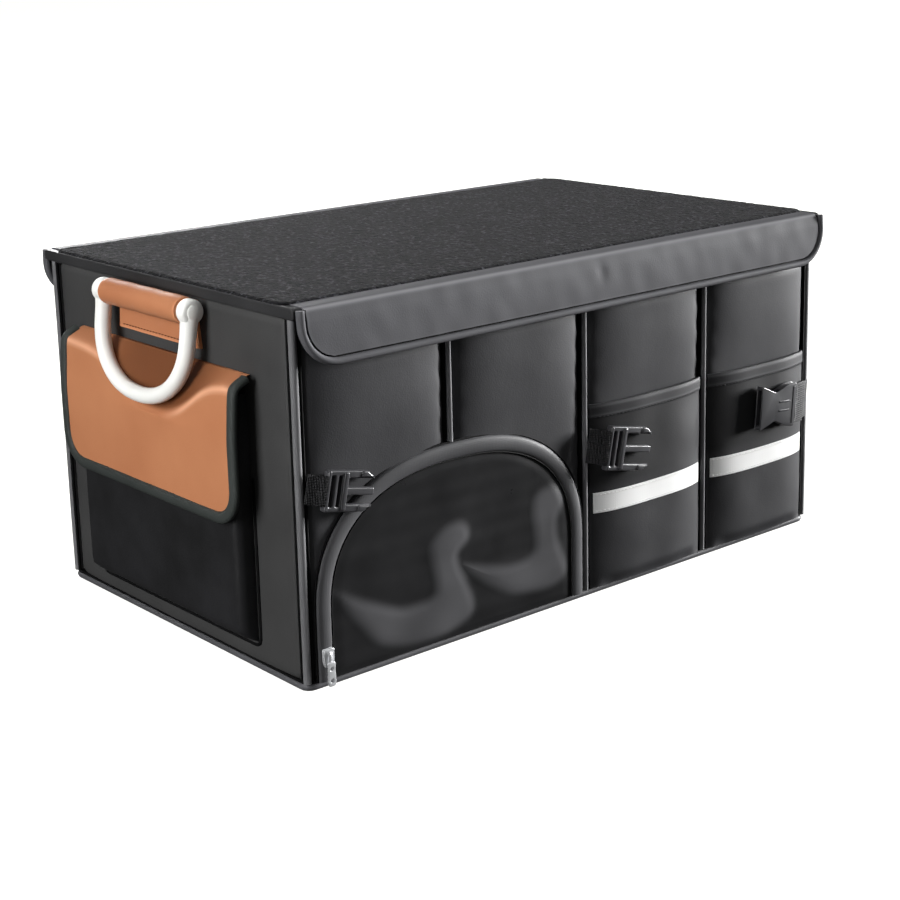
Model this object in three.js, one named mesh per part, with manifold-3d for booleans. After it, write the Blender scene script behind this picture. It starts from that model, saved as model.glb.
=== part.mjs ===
// A car trunk organizer: a padded leatherette box with a hinged lid, a zipped arch window and two
// pockets on its front, a flapped pocket on its left end, and a carrying handle on each end.
// Millimetres, +Z up. The origin is the middle of the underside, the front faces -Y and the left
// end faces -X.

import * as THREE from 'three';
import { mergeVertices } from 'three/addons/utils/BufferGeometryUtils.js';
import Module from 'manifold-3d';

const wasm = await Module();
wasm.setup();

// Overall size of the closed box, measured over its walls
const LENGTH = 560;
const WIDTH = 340;
const HEIGHT = 285;
const CLEARANCE = 0.3;

// Padded walls
const WALL = 8;
const PILLOW = 2.5;
const SECTION_COUNT = 4;
const PILLOW_STEPS = 6;

// Pipings
const SEAM_CORD = 6;
const CORNER_CORD = 8.4;
const BASE_CORD = 6;
const BASE_CORNER = 9;
const CORD_SIDES = 12;
const SEAM_PROUD = 2;
const BASE_BEVEL = 0.3;

// Floor and loose inserts
const FLOOR_BOARD = 3;
const BOARD_PLAY = 0.7;
const DIVIDER = 5;
const DIVIDER_BELOW_RIM = 25;
const DIVIDER_COUNT = 2;
const DIVIDER_CORNER = 10;

// Lid
const LID_BOARD = 8.2;
const LID_OVERHANG = 6;
const LID_END_OVERHANG = 2;
const LID_BINDING = 3.2;
const LID_FOLD = 3.4;
const CARPET = 1.5;
const CARPET_FRONT_INSET = 14;
const CARPET_END_INSET = 1;
const CARPET_CORNER = 12;

// Skirts at the front and back edges of the lid
const SKIRT_HALF = LENGTH / 2 + 1;
const SKIRT_DROP = 43;
const SKIRT = 5;
const SKIRT_LEAN = THREE.MathUtils.degToRad(4);
const SKIRT_CORNER = 32;
const SKIRT_BINDING = 7;
const SKIRT_BINDING_PROUD = 0.6;

// Hook and loop patches under the front skirt
const PATCH_LONG = 60;
const PATCH_TALL = 20;
const PATCH = 1.5;
const PATCH_BELOW_LID = 6;

// Arched zip pocket over the two left sections of the front
const ARCH_TOP = 160;
const ARCH_SPRING = 55;
const ARCH_CORNER_INSET = 10;
const ARCH_SEAM_INSET = 5;
const ARCH_POWER = 2.4;
const ARCH_STEPS = 24;
const ZIP_BAND = 13.5;
const ZIP_BAND_THICK = 2.5;
const FILM = 1.5;

// Zip slider and its puller
const SLIDER_WIDE = 9;
const SLIDER_TALL = 14;
const SLIDER_THICK = 4;
const SLIDER_FOOT = 18;
const SLIDER_CORNER = 2;
const SLIDER_CURVE = 3;
const PULLER_WIDE = 7.5;
const PULLER_LONG = 19;
const PULLER_THICK = 1.6;
const PULLER_TOP_DROP = 9;
const PULLER_HOLE = 3;
const PULLER_HOLE_PLACES = [0.3, 0.78];

// Open pockets on the two right sections of the front
const POCKET_TOP = 161;
const POCKET_SKIN = 2;
const POCKET_SLACK = 5.5;
const POCKET_SEAM_INSET = 1.5;
const STRIP_MIDDLE = 78.5;
const STRIP_TALL = 17;
const STRIP_THICK = 0.8;
const STRIP_SEAM_INSET = 4;

// Side release buckles and their webbing, a small plug over the arch and a large pair
const SMALL_PLUG = { tall: 30, long: 43, webbing: 22, shown: 12, up: 153 };
const LARGE_PLUG = { tall: 36, long: 49, webbing: 28, shown: 12, up: 129 };
const SOCKET = { tall: 39, long: 46, webbing: 34, shown: 31, up: 117 };
const PLUG_DROOP = THREE.MathUtils.degToRad(12);
const SOCKET_DROOP = THREE.MathUtils.degToRad(5);
const BUCKLE_THICK = 7;
const PLUG_BODY = 17;
const PLUG_BAR = 3.2;
const PLUG_SLOT = 3.4;
const PRONG = 5.5;
const PRONG_HOOK = 8;
const SOCKET_GAP = 4.4;
const SOCKET_DEEP = 24;
const SOCKET_RIM = 4;
const NOTCH_DEEP = 7;
const NOTCH_MIDDLE = 0.42;
const NOTCH_END = 0.75;
const NOTCH_END_DEEP = 1;
const WEBBING = 1.8;
const WEBBING_RISE = 0.7;
const WEBBING_SEAM_INSET = 6;

// Carrying handles, one on each end
const HANDLE_HALF = 61;
const HANDLE_TUBE = 12.5;
const HANDLE_DROP = 71.5;
const HANDLE_STRAIGHT = 22;
const HANDLE_POWER = 2.2;
const HANDLE_STEPS = 26;
const HANDLE_PIVOT_DROP = 7.7;
const HANDLE_PIVOT_OUT = 12;
const HANDLE_EYE = 19;
const HANDLE_EYE_LONG = 11;
const ROD = 8;
const ROLL = 21;
const ROLL_PLAY = 1;
const ROUND_SIDES = 20;
const TAB_HEAD_DROP = 1.7;
const TAB_TALL = 36;
const TAB_THICK = 3;
const TAB_SPREAD = 0.5;

// Flapped pocket on the left end
const SIDE_POCKET_HALF = 112;
const SIDE_POCKET_FOOT = 23;
const SIDE_POCKET_DEEP = 18;
const SIDE_POCKET_SKIN = 2.2;
const MOUTH_COVER = 18;
const GUSSET_TOP_DROP = 15;
const GUSSET_TOP_DEEP = 11;
const GUSSET_BEND_DROP = 3;
const FLAP_HALF = 125;
const FLAP = 3;
const FLAP_BELOW_TAB = 9;
const SHOULDER_DROP = 45;
const FLAP_DROP = 66;
const FLAP_CORNER = 28;
const FLAP_BINDING = 9;
const FLAP_BINDING_PROUD = 0.8;
const CREST_DROP = 8;
const SCOOP_RISE = 5;
const SCOOP_FLAT = 12;
const SCOOP_HALF = 88;
const SCOOP_POWER = 1.6;
const SCOOP_STEPS = 22;

// How far a cutting shape runs past what it cuts
const SPARE = 10;

// Places worked out from the sizes above
const halfLength = LENGTH / 2;
const halfWidth = WIDTH / 2;
const sectionLong = LENGTH / SECTION_COUNT;
const wallFoot = BASE_CORD + CLEARANCE;
const lidTop = HEIGHT - CARPET;
const lidBoardTop = lidTop - CLEARANCE;
const lidUnder = lidBoardTop - LID_BOARD;
const wallTop = lidUnder - CLEARANCE;
const cornerNotch = CORNER_CORD + 2 * CLEARANCE;
const grooveHalf = SEAM_CORD / 2 + 2 * CLEARANCE;
const seamCordOut = SEAM_PROUD - SEAM_CORD / 2;
const grooveFloor = seamCordOut - SEAM_CORD / 2 - CLEARANCE;
const archLeft = -halfLength + ARCH_CORNER_INSET;
const archRight = -ARCH_SEAM_INSET;
const archMiddle = (archLeft + archRight) / 2;
const bandOut = halfWidth + CLEARANCE;
const bandFront = bandOut + ZIP_BAND_THICK;

// Places on the two ends, their heights measured down from the rim of the wall
const handlePivotUp = wallTop - HANDLE_PIVOT_DROP;
const rollHalf = HANDLE_HALF - HANDLE_EYE_LONG / 2 - ROLL_PLAY;
const tabHead = wallTop - TAB_HEAD_DROP;
const tabFoot = tabHead - TAB_TALL;
const flapSeam = tabFoot - FLAP_BELOW_TAB;
const crestUp = flapSeam - CREST_DROP;
const flapBend = flapSeam - SHOULDER_DROP;
const scoopUp = flapBend + SCOOP_RISE;
const flapFoot = flapBend - FLAP_DROP;
const gussetTop = flapSeam - GUSSET_TOP_DROP;
const gussetBend = flapBend - GUSSET_BEND_DROP;
const pocketMouth = flapFoot + MOUTH_COVER;
const flapInner = SIDE_POCKET_DEEP + CLEARANCE;
const flapOuter = flapInner + FLAP;

// Each side of the box is drawn as its front and turned round the vertical axis
const FRONT = 0;
const RIGHT = Math.PI / 2;
const BACK = Math.PI;
const LEFT = -Math.PI / 2;

const leather = { color: 0x3a3a3d, roughness: 0.55, metalness: 0 };
const darkCloth = { color: 0x232325, roughness: 0.85, metalness: 0 };
const carpet = { color: 0x38383b, roughness: 0.95, metalness: 0 };
const greyCord = { color: 0x66666a, roughness: 0.6, metalness: 0 };
const tan = { color: 0xb9794e, roughness: 0.5, metalness: 0 };
const film = { color: 0x1c1c1e, roughness: 0.25, metalness: 0 };
const whitePlastic = { color: 0xf1f1ee, roughness: 0.4, metalness: 0 };
const reflective = { color: 0xf4f4f2, roughness: 0.45, metalness: 0 };
const blackPlastic = { color: 0x2e2e31, roughness: 0.45, metalness: 0 };
const silver = { color: 0xb9bcc0, roughness: 0.3, metalness: 1 };

const organizer = new THREE.Group();

function addPiece(name, geometry, finish, parent = organizer) {
  const mesh = new THREE.Mesh(geometry, new THREE.MeshStandardMaterial(finish));
  mesh.name = name;
  parent.add(mesh);
  return mesh;
}

// Booleans

function toSolid(geometry) {
  const bare = geometry.clone();
  bare.deleteAttribute('normal');
  bare.deleteAttribute('uv');
  const merged = mergeVertices(bare, 1e-4);
  const vertProperties = new Float32Array(merged.attributes.position.array);
  const triVerts = new Uint32Array(merged.index.array);
  return new wasm.Manifold(new wasm.Mesh({ numProp: 3, vertProperties, triVerts }));
}

function toGeometry(solid) {
  const mesh = solid.getMesh();
  const geometry = new THREE.BufferGeometry();
  geometry.setAttribute('position', new THREE.BufferAttribute(mesh.vertProperties, 3));
  geometry.setIndex(new THREE.BufferAttribute(mesh.triVerts, 1));
  geometry.computeVertexNormals();
  return geometry;
}

function join(...geometries) {
  return toGeometry(geometries.map(toSolid).reduce((sum, next) => sum.add(next)));
}

function cut(geometry, ...tools) {
  return toGeometry(tools.map(toSolid).reduce((left, tool) => left.subtract(tool), toSolid(geometry)));
}

// Shapes

function polygon(points) {
  return new THREE.Shape(points.map(([x, y]) => new THREE.Vector2(x, y)));
}

function rectangle(left, low, right, high, radius = 0) {
  const shape = new THREE.Shape();
  if (radius === 0) {
    return polygon([[left, low], [right, low], [right, high], [left, high]]);
  }
  shape.moveTo(left + radius, low);
  shape.lineTo(right - radius, low);
  shape.absarc(right - radius, low + radius, radius, -Math.PI / 2, 0);
  shape.lineTo(right, high - radius);
  shape.absarc(right - radius, high - radius, radius, 0, Math.PI / 2);
  shape.lineTo(left + radius, high);
  shape.absarc(left + radius, high - radius, radius, Math.PI / 2, Math.PI);
  shape.lineTo(left, low + radius);
  shape.absarc(left + radius, low + radius, radius, Math.PI, 1.5 * Math.PI);
  return shape;
}

function extrude(shape, depth, curveSegments = 6) {
  return new THREE.ExtrudeGeometry(shape, { depth, bevelEnabled: false, curveSegments });
}

function block(left, low, inner, right, high, outer) {
  return onSide(extrude(rectangle(left, low, right, high), outer - inner), FRONT, inner);
}

// A shape drawn as across and up, extruded outwards, is stood on a side at its distance from
// the vertical axis
function onSide(geometry, side, inner) {
  return geometry.rotateX(Math.PI / 2).translate(0, -inner, 0).rotateZ(side);
}

// A plan drawn as across and outwards is extruded upwards and put on a side
function upSide(points, side, low, high) {
  const plan = polygon(points.map(([across, out]) => [across, -out]));
  return extrude(plan, high - low).translate(0, 0, low).rotateZ(side);
}

// A section drawn as outwards and up is run along a side, over its whole length
function alongSide(shape, side, half) {
  return extrude(shape, 2 * half).translate(0, 0, -half).rotateX(Math.PI / 2)
    .rotateZ(-Math.PI / 2).rotateZ(side);
}

// Rings of as many points each are joined one to the next, and the ends closed
function loft(rings) {
  const count = rings[0].length;
  const positions = rings.flat().flat();
  const index = [];
  for (let ring = 0; ring + 1 < rings.length; ring += 1) {
    for (let point = 0; point < count; point += 1) {
      const a = ring * count + point;
      const b = ring * count + (point + 1) % count;
      index.push(a, b, b + count, a, b + count, a + count);
    }
  }
  const section = rings[0].map(([, out, up]) => new THREE.Vector2(-out, up));
  const last = (rings.length - 1) * count;
  for (const [a, b, c] of THREE.ShapeUtils.triangulateShape(section, [])) {
    index.push(a, b, c, last + a, last + c, last + b);
  }
  const geometry = new THREE.BufferGeometry();
  geometry.setAttribute('position', new THREE.Float32BufferAttribute(positions, 3));
  geometry.setIndex(index);
  geometry.computeVertexNormals();
  return geometry;
}

// How far a padded section swells at a place across it, from -1 at one seam to 1 at the next
function swell(share) {
  return PILLOW * (1 - share ** 4);
}

function seamPlaces() {
  return Array.from({ length: SECTION_COUNT - 1 }, (_, i) => -halfLength + (i + 1) * sectionLong);
}

// Where each padded section of a wall starts and ends, clear of the grooves at its seams
function sectionSpans(half, seams) {
  const edges = [-half, ...seams, half];
  return edges.slice(1).map((edge, i) => ({
    start: edges[i] + (i > 0 ? grooveHalf : 0),
    end: edge - (i < seams.length ? grooveHalf : 0),
  }));
}

function middleOf({ start, end }) {
  return (start + end) / 2;
}

// Walls

// The plan of a wall that is flat inside and swells outside between its seams
function wallPlan(half, outer, seams) {
  const points = [[half, outer - WALL], [-half, outer - WALL]];
  sectionSpans(half, seams).forEach(({ start, end }, i) => {
    for (let step = 0; step <= PILLOW_STEPS; step += 1) {
      const share = step / PILLOW_STEPS;
      points.push([start + (end - start) * share, outer - PILLOW + swell(2 * share - 1)]);
    }
    if (i < seams.length) {
      points.push([end, outer + grooveFloor], [end + 2 * grooveHalf, outer + grooveFloor]);
    }
  });
  return points;
}

const frontSpans = sectionSpans(halfLength - cornerNotch, seamPlaces());

function addWalls() {
  const longHalf = halfLength - cornerNotch;
  const endHalf = halfWidth - cornerNotch;
  const longPlan = wallPlan(longHalf, halfWidth, seamPlaces());
  const endPlan = wallPlan(endHalf, halfLength, []);
  addPiece('front_wall', upSide(longPlan, FRONT, wallFoot, wallTop), leather);
  addPiece('back_wall', upSide(longPlan, BACK, wallFoot, wallTop), leather);
  addPiece('left_wall', upSide(endPlan, LEFT, wallFoot, wallTop), leather);
  addPiece('right_wall', upSide(endPlan, RIGHT, wallFoot, wallTop), leather);
}

function uprightCord(diameter, x, y, foot = wallFoot) {
  const cord = new THREE.CylinderGeometry(diameter / 2, diameter / 2, wallTop - foot, CORD_SIDES);
  return cord.rotateX(Math.PI / 2).translate(x, y, (wallTop + foot) / 2);
}

function addPipings() {
  const cornerIn = cornerNotch / 2;
  for (const [end, x] of [['left', -1], ['right', 1]]) {
    for (const [side, y] of [['front', -1], ['back', 1]]) {
      const place = [x * (halfLength - cornerIn), y * (halfWidth - cornerIn)];
      addPiece(`corner_piping_${side}_${end}`, uprightCord(CORNER_CORD, ...place), greyCord);
    }
  }
  seamPlaces().forEach((x, i) => {
    const y = halfWidth + seamCordOut;
    const overArch = x > archLeft && x < archRight;
    const foot = overArch ? ARCH_TOP + CLEARANCE : wallFoot;
    addPiece(`front_piping_${i + 1}`, uprightCord(SEAM_CORD, x, -y, foot), greyCord);
    addPiece(`back_piping_${i + 1}`, uprightCord(SEAM_CORD, x, y), greyCord);
  });
}

// Floor, base piping and the loose boards inside

function addFloor() {
  const inset = BASE_CORD + 2 * CLEARANCE;
  const plan = rectangle(-halfLength + inset, -halfWidth + inset, halfLength - inset, halfWidth - inset,
    BASE_CORNER - inset);
  addPiece('floor_panel', extrude(plan, BASE_CORD), darkCloth);

  const bevel = BASE_CORD * BASE_BEVEL;
  const outer = rectangle(-halfLength + bevel, -halfWidth + bevel, halfLength - bevel, halfWidth - bevel,
    BASE_CORNER - bevel);
  const hole = BASE_CORD - bevel;
  outer.holes.push(rectangle(-halfLength + hole, -halfWidth + hole, halfLength - hole, halfWidth - hole,
    BASE_CORNER - hole));
  const ring = new THREE.ExtrudeGeometry(outer, {
    depth: BASE_CORD - 2 * bevel,
    bevelThickness: bevel,
    bevelSize: bevel,
    bevelSegments: 2,
    curveSegments: 4,
  });
  addPiece('base_piping', ring.translate(0, 0, bevel), greyCord);

  const x = halfLength - WALL - BOARD_PLAY;
  const y = halfWidth - WALL - BOARD_PLAY;
  const board = extrude(rectangle(-x, -y, x, y), FLOOR_BOARD);
  addPiece('floor_board', board.translate(0, 0, BASE_CORD + CLEARANCE), darkCloth);
}

function addDividers() {
  const foot = BASE_CORD + FLOOR_BOARD + 2 * CLEARANCE;
  const half = halfWidth - WALL - CLEARANCE;
  const pitch = (LENGTH - 2 * WALL) / (DIVIDER_COUNT + 1);
  for (let i = 0; i < DIVIDER_COUNT; i += 1) {
    const outline = rectangle(-half, foot, half, wallTop - DIVIDER_BELOW_RIM, DIVIDER_CORNER);
    const middle = -halfLength + WALL + pitch * (i + 1);
    addPiece(`divider_${i + 1}`, onSide(extrude(outline, DIVIDER), RIGHT, middle - DIVIDER / 2), darkCloth);
  }
}

// Flaps with a bound edge

// The two sides and the foot of a flap with round lower corners, from its left top to its right
function flapEdge(half, top, foot, radius, steps = 6) {
  const points = [[-half, top]];
  for (let step = 0; step <= steps; step += 1) {
    const angle = Math.PI + (Math.PI / 2) * (step / steps);
    points.push([-half + radius + radius * Math.cos(angle), foot + radius + radius * Math.sin(angle)]);
  }
  for (let step = 0; step <= steps; step += 1) {
    const angle = 1.5 * Math.PI + (Math.PI / 2) * (step / steps);
    points.push([half - radius + radius * Math.cos(angle), foot + radius + radius * Math.sin(angle)]);
  }
  points.push([half, top]);
  return points;
}

function flapPanel(half, top, foot, radius, binding) {
  const inset = binding + CLEARANCE;
  return polygon(flapEdge(half - inset, top, foot + inset, radius - inset));
}

function flapBinding(half, top, foot, radius, binding) {
  const inner = flapEdge(half - binding, top, foot + binding, radius - binding);
  return polygon([...flapEdge(half, top, foot, radius), ...inner.reverse()]);
}

// A skirt hangs from the top edge of the lid and leans out a little at its foot
function addSkirt(side, panelName, bindingName) {
  const place = new THREE.Group();
  place.rotation.z = side;
  const lean = new THREE.Group();
  lean.position.set(0, -(halfWidth + LID_OVERHANG + CLEARANCE), lidBoardTop);
  lean.rotation.x = -SKIRT_LEAN;
  place.add(lean);
  organizer.add(place);
  const sizes = [SKIRT_HALF, 0, -SKIRT_DROP, SKIRT_CORNER, SKIRT_BINDING];
  const panel = onSide(extrude(flapPanel(...sizes), SKIRT - SKIRT_BINDING_PROUD), FRONT, 0);
  addPiece(panelName, panel, leather, lean);
  addPiece(bindingName, onSide(extrude(flapBinding(...sizes), SKIRT), FRONT, 0), leather, lean);
  return lean;
}

// Lid

function addLid() {
  const boardHalf = halfLength + LID_END_OVERHANG - LID_BINDING - CLEARANCE;
  const edge = halfWidth + LID_OVERHANG;
  const section = rectangle(-edge, lidUnder, edge, lidBoardTop, LID_FOLD);
  addPiece('lid_panel', alongSide(section, FRONT, boardHalf), leather);

  const bindingInner = boardHalf + CLEARANCE;
  for (const [end, side] of [['left', LEFT], ['right', RIGHT]]) {
    const outline = rectangle(-edge, lidUnder, edge, lidBoardTop, LID_FOLD);
    addPiece(`lid_binding_${end}`, onSide(extrude(outline, LID_BINDING), side, bindingInner), greyCord);
  }

  const x = halfLength + LID_END_OVERHANG - CARPET_END_INSET;
  const y = edge - CARPET_FRONT_INSET;
  const nap = extrude(rectangle(-x, -y, x, y, CARPET_CORNER), CARPET);
  addPiece('lid_carpet', nap.translate(0, 0, lidTop), carpet);
}

function addFrontClosure(lean) {
  const patchTop = wallTop - PATCH_BELOW_LID;
  for (const [end, span] of [['left', frontSpans.at(0)], ['right', frontSpans.at(-1)]]) {
    const x = middleOf(span);
    const hooks = block(x - PATCH_LONG / 2, patchTop - PATCH_TALL, bandOut, x + PATCH_LONG / 2, patchTop,
      bandOut + PATCH);
    addPiece(`hook_patch_${end}`, hooks, darkCloth);
    const drop = lidBoardTop - patchTop;
    const loops = block(x - PATCH_LONG / 2, -drop - PATCH_TALL, -PATCH - CLEARANCE, x + PATCH_LONG / 2,
      -drop, -CLEARANCE);
    addPiece(`loop_patch_${end}`, loops, darkCloth, lean);
  }
}

// Arched zip pocket

// The arch from its left foot over its top to its right foot, inset from its outer edge
function archEdge(inset) {
  const across = (archRight - archLeft) / 2 - inset;
  const rise = ARCH_TOP - ARCH_SPRING - inset;
  const points = [[archMiddle - across, wallFoot]];
  for (let step = 0; step <= ARCH_STEPS; step += 1) {
    const angle = Math.PI * (1 - step / ARCH_STEPS);
    const cos = Math.cos(angle);
    const sin = Math.sin(angle);
    const x = Math.sign(cos) * Math.abs(cos) ** (2 / ARCH_POWER);
    const z = Math.abs(sin) ** (2 / ARCH_POWER);
    points.push([archMiddle + across * x, ARCH_SPRING + rise * z]);
  }
  points.push([archMiddle + across, wallFoot]);
  return points;
}

function addArchPocket() {
  const band = polygon([...archEdge(0), ...archEdge(ZIP_BAND).reverse()]);
  addPiece('zip_band', onSide(extrude(band, ZIP_BAND_THICK), FRONT, bandOut), greyCord);
  const window = polygon(archEdge(ZIP_BAND + CLEARANCE));
  addPiece('window_film', onSide(extrude(window, FILM), FRONT, bandOut), film);
}

function addSlider() {
  const x = archLeft + ZIP_BAND / 2;
  const inner = bandFront + CLEARANCE;
  const body = rectangle(x - SLIDER_WIDE / 2, SLIDER_FOOT, x + SLIDER_WIDE / 2, SLIDER_FOOT + SLIDER_TALL,
    SLIDER_CORNER);
  addPiece('zip_slider', onSide(extrude(body, SLIDER_THICK, SLIDER_CURVE), FRONT, inner), silver);

  const top = SLIDER_FOOT + SLIDER_TALL - PULLER_TOP_DROP;
  const puller = rectangle(x - PULLER_WIDE / 2, top - PULLER_LONG, x + PULLER_WIDE / 2, top, SLIDER_CORNER);
  for (const share of PULLER_HOLE_PLACES) {
    const hole = new THREE.Path();
    hole.absarc(x, top - PULLER_LONG * share, PULLER_HOLE / 2, 0, 2 * Math.PI);
    puller.holes.push(hole);
  }
  const pullerInner = inner + SLIDER_THICK + CLEARANCE;
  addPiece('zip_puller', onSide(extrude(puller, PULLER_THICK, SLIDER_CURVE), FRONT, pullerInner), silver);
}

// Open pockets with a reflective strip

// A sheet that lies on a padded section and bows out from it, as points across and outwards,
// with the line of the wall behind it
function bowedSheet(span, inset, lift, thick) {
  const middle = middleOf(span);
  const sectionHalf = (span.end - span.start) / 2;
  const half = sectionHalf - inset;
  const steps = 2 * PILLOW_STEPS;
  const lines = { wall: [], near: [], far: [] };
  for (let step = 0; step <= steps; step += 1) {
    const across = half * (2 * step / steps - 1);
    const share = across / sectionHalf;
    const wall = halfWidth - PILLOW + swell(share) + CLEARANCE;
    const out = wall + POCKET_SLACK * (1 - share ** 2) + lift;
    lines.wall.push([middle + across, wall]);
    lines.near.push([middle + across, out]);
    lines.far.push([middle + across, out + thick]);
  }
  return lines;
}

function addFrontPocket(name, stripName, span) {
  const skin = bowedSheet(span, POCKET_SEAM_INSET, 0, POCKET_SKIN);
  const far = [...skin.far].reverse();
  const front = upSide([...skin.near, ...far], FRONT, wallFoot, POCKET_TOP);
  const foot = upSide([...skin.wall, ...far], FRONT, wallFoot, wallFoot + POCKET_SKIN);
  addPiece(name, join(front, foot), darkCloth);

  const strip = bowedSheet(span, STRIP_SEAM_INSET, POCKET_SKIN + CLEARANCE, STRIP_THICK);
  const low = STRIP_MIDDLE - STRIP_TALL / 2;
  const stripPlan = [...strip.near, ...strip.far.reverse()];
  addPiece(stripName, upSide(stripPlan, FRONT, low, low + STRIP_TALL), reflective);
}

// Buckles

// The plug half: a body with two slots for webbing and three prongs that point right
function bucklePlug({ tall, long, webbing }) {
  const half = tall / 2;
  const shape = polygon([
    [0, -half], [long - PRONG_HOOK, -half], [long, -half + PRONG], [PLUG_BODY, -half + PRONG],
    [PLUG_BODY, -PRONG / 2], [long, -PRONG / 2], [long, PRONG / 2], [PLUG_BODY, PRONG / 2],
    [PLUG_BODY, half - PRONG], [long, half - PRONG], [long - PRONG_HOOK, half], [0, half],
  ]);
  const slotHalf = webbing / 2 + CLEARANCE;
  const slots = [0, 1].map((slot) => {
    const left = PLUG_BAR + slot * (PLUG_SLOT + PLUG_BAR);
    return extrude(rectangle(left, -slotHalf, left + PLUG_SLOT, slotHalf), BUCKLE_THICK + 2 * SPARE)
      .translate(0, 0, -SPARE);
  });
  return cut(extrude(shape, BUCKLE_THICK), ...slots);
}

// The socket half: a shell notched above and below, whose mouth faces left
function buckleSocket({ tall, long }) {
  const half = tall / 2;
  const notch = long * NOTCH_MIDDLE;
  const notchEnd = long * NOTCH_END;
  const shape = polygon([
    [0, -half], [notch, -half + NOTCH_DEEP], [notchEnd, -half + NOTCH_END_DEEP], [long, -half],
    [long, half], [notchEnd, half - NOTCH_END_DEEP], [notch, half - NOTCH_DEEP], [0, half],
  ]);
  const mouthHalf = half - NOTCH_DEEP - SOCKET_RIM / 2;
  const mouth = extrude(rectangle(-SPARE, -mouthHalf, SOCKET_DEEP, mouthHalf), SOCKET_GAP)
    .translate(0, 0, (BUCKLE_THICK - SOCKET_GAP) / 2);
  return cut(extrude(shape, BUCKLE_THICK), mouth);
}

// A buckle half and the webbing that holds it, drooping together from a seam. The webbing rises
// from the seam to the buckle's distance, and points right (1) or left (-1).
function addBuckle(name, webbingName, shape, size, place) {
  const { seamX, seamOut, out, droop, pointing } = place;
  const hang = new THREE.Group();
  hang.position.set(seamX, 0, size.up);
  hang.rotation.y = droop;
  organizer.add(hang);
  const half = size.webbing / 2;
  const end = pointing * size.shown;
  const plan = [[0, seamOut], [end * WEBBING_RISE, out], [end, out]];
  const back = plan.map(([across, near]) => [across, near + WEBBING]).reverse();
  addPiece(webbingName, upSide([...plan, ...back], FRONT, -half, half), darkCloth, hang);
  const start = pointing > 0 ? end + CLEARANCE : end - CLEARANCE - size.long;
  addPiece(name, onSide(shape.translate(start, 0, 0), FRONT, out), blackPlastic, hang);
}

function addBuckles() {
  const cornerOut = halfWidth + 2 * CLEARANCE;
  const overBand = bandFront + CLEARANCE;
  const overStrip = halfWidth + POCKET_SLACK + POCKET_SKIN + STRIP_THICK + 3 * CLEARANCE;
  addBuckle('buckle_plug_1', 'webbing_1', bucklePlug(SMALL_PLUG), SMALL_PLUG, {
    seamX: -halfLength + WEBBING_SEAM_INSET, seamOut: cornerOut, out: overBand,
    droop: PLUG_DROOP, pointing: 1,
  });
  addBuckle('buckle_plug_2', 'webbing_2', bucklePlug(LARGE_PLUG), LARGE_PLUG, {
    seamX: seamPlaces()[1], seamOut: halfWidth + SEAM_PROUD + CLEARANCE, out: overStrip,
    droop: PLUG_DROOP, pointing: 1,
  });
  addBuckle('buckle_socket', 'webbing_3', buckleSocket(SOCKET), SOCKET, {
    seamX: halfLength - WEBBING_SEAM_INSET, seamOut: cornerOut, out: overStrip,
    droop: SOCKET_DROOP, pointing: -1,
  });
}

// Handles

function addHandle(end, side, tilt) {
  const rollPlace = (geometry) => geometry.rotateY(Math.PI / 2)
    .translate(0, -HANDLE_PIVOT_OUT, handlePivotUp);
  const onEnd = (geometry) => geometry.translate(0, -halfLength, 0).rotateZ(side);
  const round = (diameter, long) => new THREE.CylinderGeometry(diameter / 2, diameter / 2, long, ROUND_SIDES)
    .rotateX(Math.PI / 2);

  const tab = block(-rollHalf - TAB_SPREAD, tabFoot, CLEARANCE, rollHalf + TAB_SPREAD, tabHead,
    CLEARANCE + TAB_THICK);
  const roll = rollPlace(round(ROLL, 2 * rollHalf));
  const bore = rollPlace(round(ROD + 2 * CLEARANCE, 2 * (rollHalf + SPARE)));
  addPiece(`handle_tab_${end}`, onEnd(cut(join(tab, roll), bore)), tan);

  const rodLong = 2 * (HANDLE_HALF + HANDLE_EYE_LONG / 2);
  addPiece(`handle_rod_${end}`, onEnd(rollPlace(round(ROD, rodLong))), silver);

  const path = [[-HANDLE_HALF, 0], [-HANDLE_HALF, -HANDLE_STRAIGHT / 2]];
  const rise = HANDLE_DROP - HANDLE_STRAIGHT;
  for (let step = 0; step <= HANDLE_STEPS; step += 1) {
    const angle = Math.PI * (1 + step / HANDLE_STEPS);
    const cos = Math.cos(angle);
    const across = HANDLE_HALF * Math.sign(cos) * Math.abs(cos) ** (2 / HANDLE_POWER);
    const down = rise * Math.abs(Math.sin(angle)) ** (2 / HANDLE_POWER);
    path.push([across, -HANDLE_STRAIGHT - down]);
  }
  path.push([HANDLE_HALF, -HANDLE_STRAIGHT / 2], [HANDLE_HALF, 0]);
  const curve = new THREE.CatmullRomCurve3(path.map(([x, z]) => new THREE.Vector3(x, 0, z)));
  const circle = new THREE.Shape();
  circle.absarc(0, 0, HANDLE_TUBE / 2, 0, 2 * Math.PI);
  const tube = new THREE.ExtrudeGeometry(circle, {
    extrudePath: curve,
    steps: HANDLE_STEPS,
    curveSegments: 5,
  });
  const eyes = [-HANDLE_HALF, HANDLE_HALF].map((x) => round(HANDLE_EYE, HANDLE_EYE_LONG)
    .rotateY(Math.PI / 2).translate(x, 0, 0));
  const hole = round(ROD + 2 * CLEARANCE, rodLong + 2 * SPARE).rotateY(Math.PI / 2);
  const handle = cut(join(tube, ...eyes), hole).rotateX(-tilt)
    .translate(0, -HANDLE_PIVOT_OUT, handlePivotUp);
  addPiece(`handle_${end}`, onEnd(handle), whitePlastic);
}

// Side pocket and flap

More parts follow.
